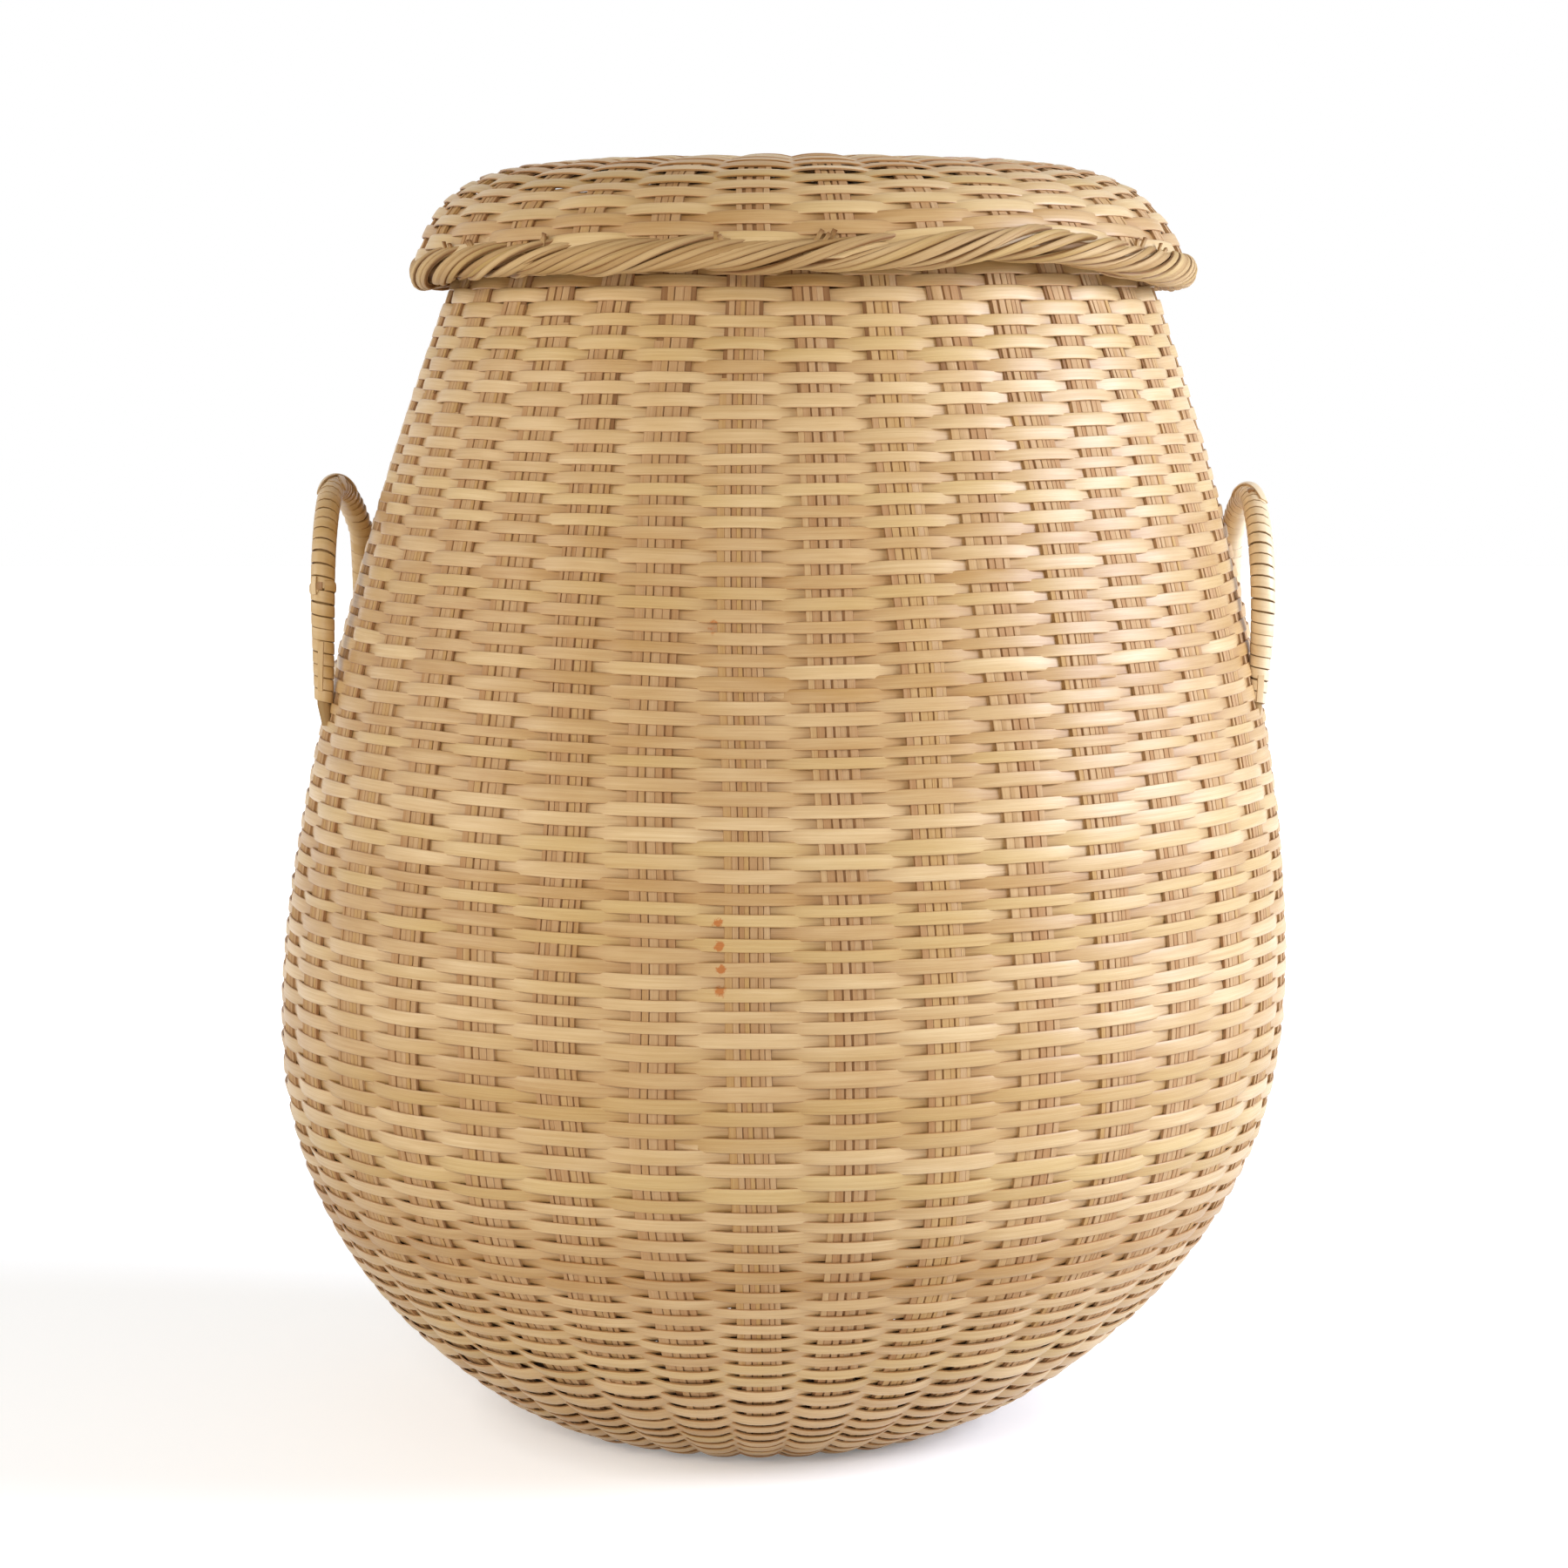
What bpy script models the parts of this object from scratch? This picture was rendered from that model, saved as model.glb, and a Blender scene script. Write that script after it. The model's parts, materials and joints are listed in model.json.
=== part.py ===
"""Lidded cane basket: a pear-shaped basket of flat cane woven round upright bundles of
splints, with a bound hoop handle at each side and a domed lid that lifts straight off.
Metres, +Z up, the front towards -Y. The origin is on the floor under the belly's middle."""

from math import asin, cos, pi, radians, sin, sqrt

import bmesh
import bpy
from mathutils import Vector

# Outline of the woven wall, measured on the outer faces of the stakes
BASE_RADIUS = 0.0845
BELLY_RADIUS = 0.2015
BELLY_HEIGHT = 0.179
MOUTH_RADIUS = 0.132
WALL_HEIGHT = 0.474
WALL_THICKNESS = 0.0055
BOWL_SWELL = 2.44
BOWL_TUCK = 0.88
SHOULDER_FALL = 1.6
BOWL_STEPS = 6
BOWL_SPREAD = 1.4
SHOULDER_STEPS = 5

# From belly to mouth the basket was pulled to the right and back, and its stakes round
LEAN = 0.0131
LEAN_BACK = 0.0059
STAKE_TWIST = radians(-6.2)

# Stakes: flat bundles of splints bedded in the weave from the middle of the base up
STAKES = 35
FIRST_STAKE = radians(-3.4)
BUNDLE_WIDTH = 0.016
BUNDLE_THICKNESS = 0.0023
BUNDLE_SHARE = 0.64
RIB_RISE = 0.001
CROSS_RADIUS = 0.020
CROSS_CAP_RADIUS = 0.027
CROSS_CAP_THICKNESS = 0.002

# Space left between pieces that touch, and how near two points are the same one
GAP = 0.0003
WELD = 0.00003

# Twisted borders
MOUTH_BORDER_RADIUS = 0.0056
LID_BORDER_RADIUS = 0.0060
BORDER_STRANDS = 4
STRAND_RELIEF = 0.14
MOUTH_LAY_TURNS = 6
LID_LAY_TURNS = 8
MOUTH_BORDER_STEPS = 72
LID_BORDER_STEPS = 96

# Lid
LID_OVERHANG = 0.022
LID_RADIUS = MOUTH_RADIUS + LID_OVERHANG
LID_RISE = 0.0465
LID_FLATNESS = 8.0
LID_SHOULDER = 1.45
LID_THICKNESS = 0.005
LID_EDGE = 0.0100
LID_STAKES = 29
LID_BUNDLE_WIDTH = 0.0115
LID_FIRST_STAKE = radians(5.6)
LID_CROSS_RADIUS = 0.015
LID_STEPS = 6
LID_BACK_SIDES = 2
SEAT_SAMPLES = 40

# Handles: a hoop of cane at each side, its legs let into the weave
HANDLE_SPREAD = 0.092
HANDLE_TOP = 0.3775
HANDLE_FOOT = 0.291
HANDLE_STANDOFF = 0.0026
CORE_RADIUS = 0.0036
CORE_BEVEL_STEPS = 2
TAIL_LENGTH = 0.046
TAIL_RADIUS = 0.0009
TAIL_DEPTH = 0.0009
ARCH_STEPS = 14
LEG_STEPS = 4
TAIL_STEPS = 4
BINDING_TURNS = 24
BINDING_STEPS = 8
BINDING_THICKNESS = 0.0007
BINDING_SLACK = 0.0006
BINDING_TURN_GAP = 0.0006
BINDING_CLEARANCE = 0.0004
TIE_ALONG = 0.033
TIE_WIDTH = 0.005
TIE_THICKNESS = 0.0009
TIE_SLACK = 0.0006
TIE_SIDES = 24

WEAVER_CANE = (0.71, 0.50, 0.28)
STAKE_SPLINT = (0.60, 0.37, 0.20)
BORDER_CANE = (0.66, 0.44, 0.23)
HANDLE_CANE = (0.68, 0.47, 0.25)
CORE_CANE = (0.52, 0.33, 0.17)
CANE_ROUGHNESS = 0.55
SPLINT_ROUGHNESS = 0.7
SMOOTH_BELOW = radians(35.0)


def clear_scene():
    for thing in list(bpy.data.objects):
        bpy.data.objects.remove(thing, do_unlink=True)


def cane(name, colour, roughness):
    """A dry cane finish."""
    finish = bpy.data.materials.new(name)
    finish.use_nodes = True
    shader = finish.node_tree.nodes["Principled BSDF"]
    shader.inputs["Base Color"].default_value = (*colour, 1.0)
    shader.inputs["Roughness"].default_value = roughness
    shader.inputs["Metallic"].default_value = 0.0
    return finish


def wall_radius(height):
    """The outer radius at a height: a round bowl up to the belly, then a falling shoulder."""
    if height < BELLY_HEIGHT:
        below = 1.0 - height / BELLY_HEIGHT
        swell = (1.0 - below**BOWL_SWELL) ** BOWL_TUCK
        return BASE_RADIUS + (BELLY_RADIUS - BASE_RADIUS) * swell
    return BELLY_RADIUS - (BELLY_RADIUS - MOUTH_RADIUS) * above_belly(height) ** SHOULDER_FALL


def above_belly(height):
    """A height as a share of the rise from belly to mouth, negative under the belly."""
    return (height - BELLY_HEIGHT) / (WALL_HEIGHT - BELLY_HEIGHT)


def sway(height):
    """How far the basket's middle stands to the right at a height."""
    share = above_belly(height)
    return LEAN * share - LEAN_BACK * share * share


def wall_side(side, across, height):
    """X of the wall's outer face at one side, at a distance across from the middle."""
    return side * sqrt(wall_radius(height) ** 2 - across**2) + sway(height)


def spot(angle, radius, height):
    """A point by its angle from the front, turning to the right."""
    return Vector((radius * sin(angle), -radius * cos(angle), height))


class Station:
    """One step along an outline, with the direction in which its layers are stacked."""

    def __init__(self, radius, height, outwards, flat, widest):
        self.radius, self.height = radius, height
        self.outwards, self.flat = outwards, flat
        self.widest = widest

    def layer(self, depth):
        """Radius and height of the layer that lies this deep."""
        return self.radius - depth * self.outwards.x, self.height - depth * self.outwards.y

    def rib_depth(self):
        """Depth of a stake's outer face, which is let in where the basket stands."""
        return GAP if self.flat else 0.0

    def land_depth(self):
        """Depth of the weave between two stakes."""
        return 0.0 if self.flat else RIB_RISE

    def bundle_width(self, count):
        return min(self.widest, BUNDLE_SHARE * 2.0 * pi * self.radius / count)


def stations(outline, first_way, last_way, flat_ends, widest):
    """Stations through an outline of (radius, height), square to it but for both ends."""
    made = []
    for i, (radius, height) in enumerate(outline):
        flat = i < flat_ends
        if i == 0:
            way = Vector(first_way)
        elif i == len(outline) - 1:
            way = Vector(last_way)
        else:
            here = Vector((radius, height))
            before = (here - Vector(outline[i - 1])).normalized()
            after = (Vector(outline[i + 1]) - here).normalized()
            square_before = Vector((before.y, -before.x))
            square_after = Vector((after.y, -after.x))
            way = (square_before + square_after).normalized()
            way /= way.dot(square_before)
        made.append(Station(radius, height, way, flat, widest))
    return made


def basket_stations():
    heights = [BELLY_HEIGHT * (i / BOWL_STEPS) ** BOWL_SPREAD for i in range(BOWL_STEPS)]
    rise = WALL_HEIGHT - BELLY_HEIGHT
    heights += [BELLY_HEIGHT + rise * i / SHOULDER_STEPS for i in range(SHOULDER_STEPS + 1)]
    outline = [(CROSS_RADIUS + GAP, 0.0)]
    outline += [(wall_radius(height), height) for height in heights]
    return stations(outline, (0.0, -1.0), (1.0, 0.0), 2, BUNDLE_WIDTH)


def lid_height(radius):
    """The dome's outer face above its widest level, at a radius."""
    return LID_RISE * (1.0 - (radius / LID_RADIUS) ** LID_FLATNESS) ** (1.0 / LID_SHOULDER)


def lid_radius(height):
    return LID_RADIUS * (1.0 - (height / LID_RISE) ** LID_SHOULDER) ** (1.0 / LID_FLATNESS)


def lid_stations():
    """From the lid's edge up to its crossing, so that outwards is up at the top."""
    edge_angle, cross_angle = asin(LID_EDGE / LID_RISE), pi / 2.0
    outline = [(lid_radius(LID_EDGE), LID_EDGE)]
    for i in range(1, LID_STEPS):
        height = LID_RISE * sin(edge_angle + (cross_angle - edge_angle) * i / LID_STEPS)
        outline.append((lid_radius(height), height))
    cross = LID_CROSS_RADIUS + GAP
    outline.append((cross, lid_height(cross)))
    return stations(outline, (1.0, 0.0), (0.0, 1.0), 0, LID_BUNDLE_WIDTH)


def stake_angle(number, count, first, height, twist):
    return first + 2.0 * pi * number / count + twist * above_belly(height)


def weave_ring(station, count, first, twist, thickness):
    """One ring of the weave's outer face, with a groove where each stake beds in."""
    ring = []
    floor = station.rib_depth() + thickness + GAP
    half = station.bundle_width(count) / 2.0 + GAP
    land_radius, land_height = station.layer(station.land_depth())
    floor_radius, floor_height = station.layer(floor)
    for number in range(count):
        middle = stake_angle(number, count, first, station.height, twist)
        land, deep = asin(half / land_radius), asin(half / floor_radius)
        ring.append(spot(middle - land, land_radius, land_height))
        ring.append(spot(middle - deep, floor_radius, floor_height))
        ring.append(spot(middle + deep, floor_radius, floor_height))
        ring.append(spot(middle + land, land_radius, land_height))
    return ring


def inner_ring(station, count, sides, first, twist, thickness):
    """One ring of the weave's inner face, its corners behind the lands between stakes."""
    radius, height = station.layer(thickness)
    ring = []
    for corner in range(count * sides):
        number = (corner + 0.5 * sides) / sides
        ring.append(spot(stake_angle(number, count, first, station.height, twist), radius, height))
    return ring


def stake_section(station, middle, count, thickness):
    """The four corners of a stake at a station: outer left, outer right, inner right, left."""
    half = station.bundle_width(count) / 2.0
    outer_radius, outer_height = station.layer(station.rib_depth())
    inner_radius, inner_height = station.layer(station.rib_depth() + thickness)
    outer, inner = asin(half / outer_radius), asin(half / inner_radius)
    return [
        spot(middle - outer, outer_radius, outer_height),
        spot(middle + outer, outer_radius, outer_height),
        spot(middle + inner, inner_radius, inner_height),
        spot(middle - inner, inner_radius, inner_height),
    ]


def ring_edges(bm, verts):
    return [bm.edges.get((verts[i - 1], verts[i])) for i in range(len(verts))]


def loft(bm, rings, start=None):
    """Skins rings of points by extruding each from the last. Returns both end rings."""
    if start is None:
        start = [bm.verts.new(point) for point in rings[0]]
        for i in range(len(start)):
            bm.edges.new((start[i - 1], start[i]))
        rings = rings[1:]
    verts = start
    for ring in rings:
        grown = bmesh.ops.extrude_edge_only(bm, edges=ring_edges(bm, verts))["geom"]
        fresh = {item for item in grown if isinstance(item, bmesh.types.BMVert)}
        raised = []
        for vert, point in zip(verts, ring):
            partner = next(e.other_vert(vert) for e in vert.link_edges if e.other_vert(vert) in fresh)
            partner.co = point
            raised.append(partner)
        verts = raised
    return start, verts


def loft_round(bm, rings):
    """Skins rings of points that come back to the first ring."""
    loft(bm, rings + [rings[0]])
    bmesh.ops.remove_doubles(bm, verts=bm.verts, dist=WELD)


def close_weave_end(bm, outer, inner, count, sides):
    """Joins an end of the grooved outer face to the same end of the inner face."""
    total = count * sides
    for number in range(count):
        groove = outer[4 * number : 4 * number + 4]
        following = outer[(4 * number + 4) % (4 * count)]
        behind = [inner[(number * sides + step - sides) % total] for step in range(sides + 1)]
        bm.faces.new(groove + behind[::-1])
        bm.faces.new((groove[3], following, behind[-1]))


def add_mesh(name, bm, finish, parent, round_faces=True):
    """Makes an object of a closed mesh, its faces pointing out."""
    bmesh.ops.recalc_face_normals(bm, faces=bm.faces)
    mesh = bpy.data.meshes.new(name)
    bm.to_mesh(mesh)
    bm.free()
    if round_faces:
        mesh.shade_smooth()
        mesh.set_sharp_from_angle(angle=SMOOTH_BELOW)
    mesh.materials.append(finish)
    made = bpy.data.objects.new(name, mesh)
    made.parent = parent
    bpy.context.collection.objects.link(made)
    return made


def add_anchor(name, place):
    anchor = bpy.data.objects.new(name, None)
    anchor.location = place
    bpy.context.collection.objects.link(anchor)
    return anchor


def apply_sway(bm):
    for vert in bm.verts:
        vert.co.x += sway(vert.co.z)


def add_woven_wall(parent, finish):
    """The weavers as one wall, from the crossing under the base up to the mouth."""
    bm = bmesh.new()
    steps = basket_stations()
    layout = (STAKES, FIRST_STAKE, STAKE_TWIST)
    outside = [weave_ring(step, *layout, BUNDLE_THICKNESS) for step in steps]
    inside = [
        inner_ring(step, STAKES, 1, FIRST_STAKE, STAKE_TWIST, WALL_THICKNESS) for step in steps
    ]
    outer_foot, outer_mouth = loft(bm, outside)
    inner_foot, inner_mouth = loft(bm, inside)
    close_weave_end(bm, outer_foot, inner_foot, STAKES, 1)
    close_weave_end(bm, outer_mouth, inner_mouth, STAKES, 1)
    apply_sway(bm)
    return add_mesh("woven_wall", bm, finish, parent)


def add_stake(number, parent, finish):
    """One bundle of splints, from the crossing out under the base and up to the border."""
    bm = bmesh.new()
    sections = []
    for step in basket_stations():
        middle = stake_angle(number, STAKES, FIRST_STAKE, step.height, STAKE_TWIST)
        sections.append(stake_section(step, middle, STAKES, BUNDLE_THICKNESS))
    foot, top = loft(bm, sections)
    bm.faces.new(foot)
    bm.faces.new(top)
    apply_sway(bm)
    return add_mesh(f"stake_{number + 1:02d}", bm, finish, parent, round_faces=False)


def add_base_cross(parent, finish):
    """Where the stakes cross under the base: a flat knot whose cap holds it from inside."""
    bm = bmesh.new()
    neck = WALL_THICKNESS + GAP
    cap = neck + CROSS_CAP_THICKNESS
    outline = [
        (CROSS_RADIUS, 0.0),
        (CROSS_RADIUS, neck),
        (CROSS_CAP_RADIUS, neck),
        (CROSS_CAP_RADIUS, cap),
    ]
    rings = [
        [spot(2.0 * pi * i / STAKES, radius, height) for i in range(STAKES)]
        for radius, height in outline
    ]
    foot, top = loft(bm, rings)
    bm.faces.new(foot)
    bm.faces.new(top)
    apply_sway(bm)
    return add_mesh("base_cross", bm, finish, parent)


def border_rings(radius, height, thick, lay_turns, steps):
    """Rings of a rope-like border: lobes that turn about its middle as it goes round."""
    rings = []
    corners = 2 * BORDER_STRANDS
    for step in range(steps):
        around = 2.0 * pi * step / steps
        ring = []
        for corner in range(corners):
            turn = 2.0 * pi * corner / corners + lay_turns * around
            reach = thick * (1.0 if corner % 2 == 0 else 1.0 - STRAND_RELIEF)
            ring.append(spot(around, radius + reach * cos(turn), height + reach * sin(turn)))
        rings.append(ring)
    return rings


def mouth_border_place():
    """Radius and height of the mouth border's middle, which stands on the wall's end."""
    return MOUTH_RADIUS - WALL_THICKNESS / 2.0, WALL_HEIGHT + GAP + MOUTH_BORDER_RADIUS


def add_mouth_border(parent, finish):
    bm = bmesh.new()
    radius, height = mouth_border_place()
    loft_round(
        bm,
        border_rings(radius, height, MOUTH_BORDER_RADIUS, MOUTH_LAY_TURNS, MOUTH_BORDER_STEPS),
    )
    for vert in bm.verts:
        vert.co.x += sway(WALL_HEIGHT)
    return add_mesh("mouth_border", bm, finish, parent)


def lid_level():
    """Height of the lid's widest level when its dome rests on the mouth border."""
    middle, height = mouth_border_place()
    reach = MOUTH_BORDER_RADIUS + GAP
    flats = cos(pi / (LID_BACK_SIDES * LID_STAKES))
    layers = [step.layer(LID_THICKNESS) for step in lid_stations()]
    level = 0.0
    for low, high in zip(layers, layers[1:]):
        for i in range(SEAT_SAMPLES + 1):
            radius, under = Vector(low).lerp(Vector(high), i / SEAT_SAMPLES)
            off = radius * flats - middle
            if abs(off) < reach:
                level = max(level, height + sqrt(reach * reach - off * off) - under)
    return level


def add_lid_wall(parent, finish):
    """The lid's weavers as one dome, open at its edge and round the crossing."""
    bm = bmesh.new()
    steps = lid_stations()
    outside = [weave_ring(step, LID_STAKES, LID_FIRST_STAKE, 0.0, BUNDLE_THICKNESS) for step in steps]
    inside = [
        inner_ring(step, LID_STAKES, LID_BACK_SIDES, LID_FIRST_STAKE, 0.0, LID_THICKNESS)
        for step in steps
    ]
    outer_edge, outer_top = loft(bm, outside)
    inner_edge, inner_top = loft(bm, inside)
    close_weave_end(bm, outer_edge, inner_edge, LID_STAKES, LID_BACK_SIDES)
    close_weave_end(bm, outer_top, inner_top, LID_STAKES, LID_BACK_SIDES)
    return add_mesh("lid_wall", bm, finish, parent)


def add_lid_stakes(parent, finish):
    """The lid's splint bundles, which cross at the top as one piece and fan out as arms."""
    bm = bmesh.new()
    steps = lid_stations()[::-1]
    arms = []
    for number in range(LID_STAKES):
        middle = stake_angle(number, LID_STAKES, LID_FIRST_STAKE, BELLY_HEIGHT, 0.0)
        arms.append([stake_section(step, middle, LID_STAKES, BUNDLE_THICKNESS) for step in steps])
    face_ring = [corner for arm in arms for corner in arm[0][:2]]
    back_ring = [corner for arm in arms for corner in (arm[0][3], arm[0][2])]
    face, back = loft(bm, [face_ring, back_ring])
    bm.faces.new(face)
    bm.faces.new(back)
    for number, arm in enumerate(arms):
        left, right = 2 * number, 2 * number + 1
        corners = [face[left], face[right], back[right], back[left]]
        bm.faces.remove(bm.faces.get(corners))
        bm.faces.new(loft(bm, arm[1:], start=corners)[1])
    return add_mesh("lid_stakes", bm, finish, parent, round_faces=False)


def add_lid_border(parent, finish):
    bm = bmesh.new()
    radius = lid_radius(LID_EDGE) - LID_THICKNESS / 2.0
    height = LID_EDGE - GAP - LID_BORDER_RADIUS
    loft_round(bm, border_rings(radius, height, LID_BORDER_RADIUS, LID_LAY_TURNS, LID_BORDER_STEPS))
    return add_mesh("lid_border", bm, finish, parent)


def handle_plane(side):
    """X of the upright plane that a hoop stands in."""
    return wall_side(side, HANDLE_SPREAD / 2.0, HANDLE_FOOT) + side * HANDLE_STANDOFF


def arch_middle():
    return HANDLE_TOP - binding_outside() - HANDLE_SPREAD / 2.0


def binding_outside():
    """Distance from a hoop's middle to the outer face of its binding."""
    return CORE_RADIUS + BINDING_SLACK + BINDING_THICKNESS


def tail(side, across):
    """A leg's tapered end, let into the weave from its tip up to the foot: points and radii."""
    made = []
    for i in range(TAIL_STEPS):
        share = i / TAIL_STEPS
        height = HANDLE_FOOT - TAIL_LENGTH * (1.0 - share)
        depth = TAIL_DEPTH - (TAIL_DEPTH + HANDLE_STANDOFF) * share
        place = Vector((wall_side(side, across, height) - side * depth, across, height))
        made.append((place, TAIL_RADIUS + (CORE_RADIUS - TAIL_RADIUS) * share))
    return made


def hoop(side):
    """The whole hoop: tail, leg, arch, leg and tail, as points and radii."""
    reach = HANDLE_SPREAD / 2.0
    plane, middle = handle_plane(side), arch_middle()
    front = tail(side, -reach)
    for i in range(LEG_STEPS):
        height = HANDLE_FOOT + (middle - HANDLE_FOOT) * i / LEG_STEPS
        front.append((Vector((plane, -reach, height)), CORE_RADIUS))
    arch = []
    for i in range(ARCH_STEPS + 1):
        turn = pi * i / ARCH_STEPS
        place = Vector((plane, -reach * cos(turn), middle + reach * sin(turn)))
        arch.append((place, CORE_RADIUS))
    back = [(Vector((place.x, -place.y, place.z)), radius) for place, radius in front[::-1]]
    return front + arch + back


def tube(name, points, thicker, parent, finish):
    """A round tube through points of (place, radius), closed at both ends."""
    curve = bpy.data.curves.new(name, "CURVE")
    curve.dimensions = "3D"
    curve.bevel_depth = CORE_RADIUS
    curve.bevel_resolution = CORE_BEVEL_STEPS
    curve.use_fill_caps = True
    spline = curve.splines.new("POLY")
    spline.points.add(len(points) - 1)
    for point, (place, radius) in zip(spline.points, points):
        point.co = (*place, 1.0)
        point.radius = (radius + thicker) / CORE_RADIUS
    curve.materials.append(finish)
    made = bpy.data.objects.new(name, curve)
    made.parent = parent
    bpy.context.collection.objects.link(made)
    return made


def solid_copy(name, source):
    """A mesh copy of a tube, used only to cut the room for it."""
    bpy.context.view_layer.update()
    seen = source.evaluated_get(bpy.context.evaluated_depsgraph_get())
    mesh = bpy.data.meshes.new_from_object(seen)
    bm = bmesh.new()
    bm.from_mesh(mesh)
    bmesh.ops.remove_doubles(bm, verts=bm.verts, dist=WELD)
    bmesh.ops.recalc_face_normals(bm, faces=bm.faces)
    bm.to_mesh(mesh)
    bm.free()
    made = bpy.data.objects.new(name, mesh)
    made.hide_render = True
    made.display_type = "WIRE"
    bpy.context.collection.objects.link(made)
    return made


def cut(target, cutter):
    modifier = target.modifiers.new(cutter.name, "BOOLEAN")
    modifier.operation = "DIFFERENCE"
    modifier.solver = "EXACT"
    modifier.object = cutter


def add_handle_core(name, side, parent, finish, wall, stakes):
    """A bent cane hoop, and the grooves that its tails lie in, in the weave and in the stakes."""
    points = hoop(side)
    core = tube(name, points, 0.0, parent, finish)
    room = tube(name + "_room", points, GAP, parent, finish)
    cutter = solid_copy(name + "_cutter", room)
    bpy.data.objects.remove(room, do_unlink=True)
    cut(wall, cutter)
    near = BUNDLE_WIDTH / 2.0 + CORE_RADIUS + GAP
    let_in = [place for place, _ in points if place.z < binding_start(side)]
    for number, stake in enumerate(stakes):
        for place in let_in:
            middle = stake_angle(number, STAKES, FIRST_STAKE, place.z, STAKE_TWIST)
            on_stake = spot(middle, wall_radius(place.z), place.z)
            on_stake.x += sway(place.z)
            if (on_stake - place).length < near:
                cut(stake, cutter)
                break
    return core


def binding_start(side):
    """The lowest height at which the binding clears the weave."""
    height = HANDLE_FOOT
    reach = HANDLE_SPREAD / 2.0
    needed = binding_outside() + BINDING_CLEARANCE
    while side * (handle_plane(side) - wall_side(side, reach, height)) < needed:
        height += GAP
    return height


def hoop_frame(side, along, start):
    """Place and tangent on a hoop at a length along it, from where its binding starts."""
    reach = HANDLE_SPREAD / 2.0
    middle = arch_middle()
    leg = middle - start
    plane = handle_plane(side)
    arch = pi * reach
    if along < leg:
        return Vector((plane, -reach, start + along)), Vector((0.0, 0.0, 1.0))
    if along > leg + arch:
        return Vector((plane, reach, middle - (along - leg - arch))), Vector((0.0, 0.0, -1.0))
    turn = (along - leg) / reach
    place = Vector((plane, -reach * cos(turn), middle + reach * sin(turn)))
    return place, Vector((0.0, sin(turn), cos(turn)))


def add_binding(name, side, parent, finish):
    """A flat strip wound round a hoop from leg to leg, and its least gap between turns."""
    start = binding_start(side)
    length = 2.0 * (arch_middle() - start) + pi * HANDLE_SPREAD / 2.0
    inner = CORE_RADIUS + BINDING_SLACK
    outer = inner + BINDING_THICKNESS
    pitch = length / (BINDING_TURNS + 1)
    half = (pitch - BINDING_TURN_GAP) / 2.0
    sections = []
    for step in range(BINDING_TURNS * BINDING_STEPS + 1):
        turn = 2.0 * pi * step / BINDING_STEPS
        along = pitch * (0.5 + step / BINDING_STEPS)
        section = []
        for offset, reach in ((-half, inner), (-half, outer), (half, outer), (half, inner)):
            place, tangent = hoop_frame(side, along + offset, start)
            sideways = Vector((1.0, 0.0, 0.0))
            square = tangent.cross(sideways)
            section.append(place + reach * (cos(turn) * square + sin(turn) * sideways))
        sections.append(section)
    least = min(
        (a - b).length
        for low, high in zip(sections, sections[BINDING_STEPS:])
        for a in low[2:]
        for b in high[:2]
    )
    print(f"{name}: least gap between turns {least * 1000.0:.2f} mm")
    bm = bmesh.new()
    foot, end = loft(bm, sections)
    bm.faces.new(foot)
    bm.faces.new(end)
    return add_mesh(name, bm, finish, parent, round_faces=False)


def add_tie(name, side, parent, finish):
    """A short strip tied across the binding on a hoop's front leg."""
    bm = bmesh.new()
    place, tangent = hoop_frame(side, TIE_ALONG, binding_start(side))
    sideways = Vector((1.0, 0.0, 0.0))
    square = tangent.cross(sideways)
    inner = binding_outside() + TIE_SLACK
    outer = inner + TIE_THICKNESS
    rings = []
    for step in range(TIE_SIDES):
        turn = 2.0 * pi * step / TIE_SIDES
        way = cos(turn) * square + sin(turn) * sideways
        rings.append([
            place + inner * way - tangent * TIE_WIDTH / 2.0,
            place + outer * way - tangent * TIE_WIDTH / 2.0,
            place + outer * way + tangent * TIE_WIDTH / 2.0,
            place + inner * way + tangent * TIE_WIDTH / 2.0,
        ])
    loft_round(bm, rings)
    return add_mesh(name, bm, finish, parent)


def build():
    clear_scene()
    weaver = cane("weaver_cane", WEAVER_CANE, CANE_ROUGHNESS)
    splint = cane("stake_splint", STAKE_SPLINT, SPLINT_ROUGHNESS)
    border = cane("border_cane", BORDER_CANE, SPLINT_ROUGHNESS)
    strip = cane("handle_strip", HANDLE_CANE, CANE_ROUGHNESS)
    core = cane("handle_core", CORE_CANE, SPLINT_ROUGHNESS)

    basket = add_anchor("basket", (0.0, 0.0, 0.0))
    wall = add_woven_wall(basket, weaver)
    stakes = [add_stake(number, basket, splint) for number in range(STAKES)]
    add_base_cross(basket, splint)
    add_mouth_border(basket, border)
    for word, side in (("left", -1.0), ("right", 1.0)):
        add_handle_core(f"{word}_handle_core", side, basket, core, wall, stakes)
        add_binding(f"{word}_handle_binding", side, basket, strip)
    add_tie("left_handle_tie", -1.0, basket, strip)

    lid = add_anchor("lid", (sway(WALL_HEIGHT), 0.0, lid_level()))
    add_lid_wall(lid, weaver)
    add_lid_stakes(lid, splint)
    add_lid_border(lid, border)


build()
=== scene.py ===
"""Looks of the lidded cane basket: every weaver, stake splint, border strand and binding
turn is a cane of its own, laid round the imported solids. Metres, +Z up, front towards -Y."""

import json
from math import asin, cos, pi, radians, sin, sqrt, tau

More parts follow.
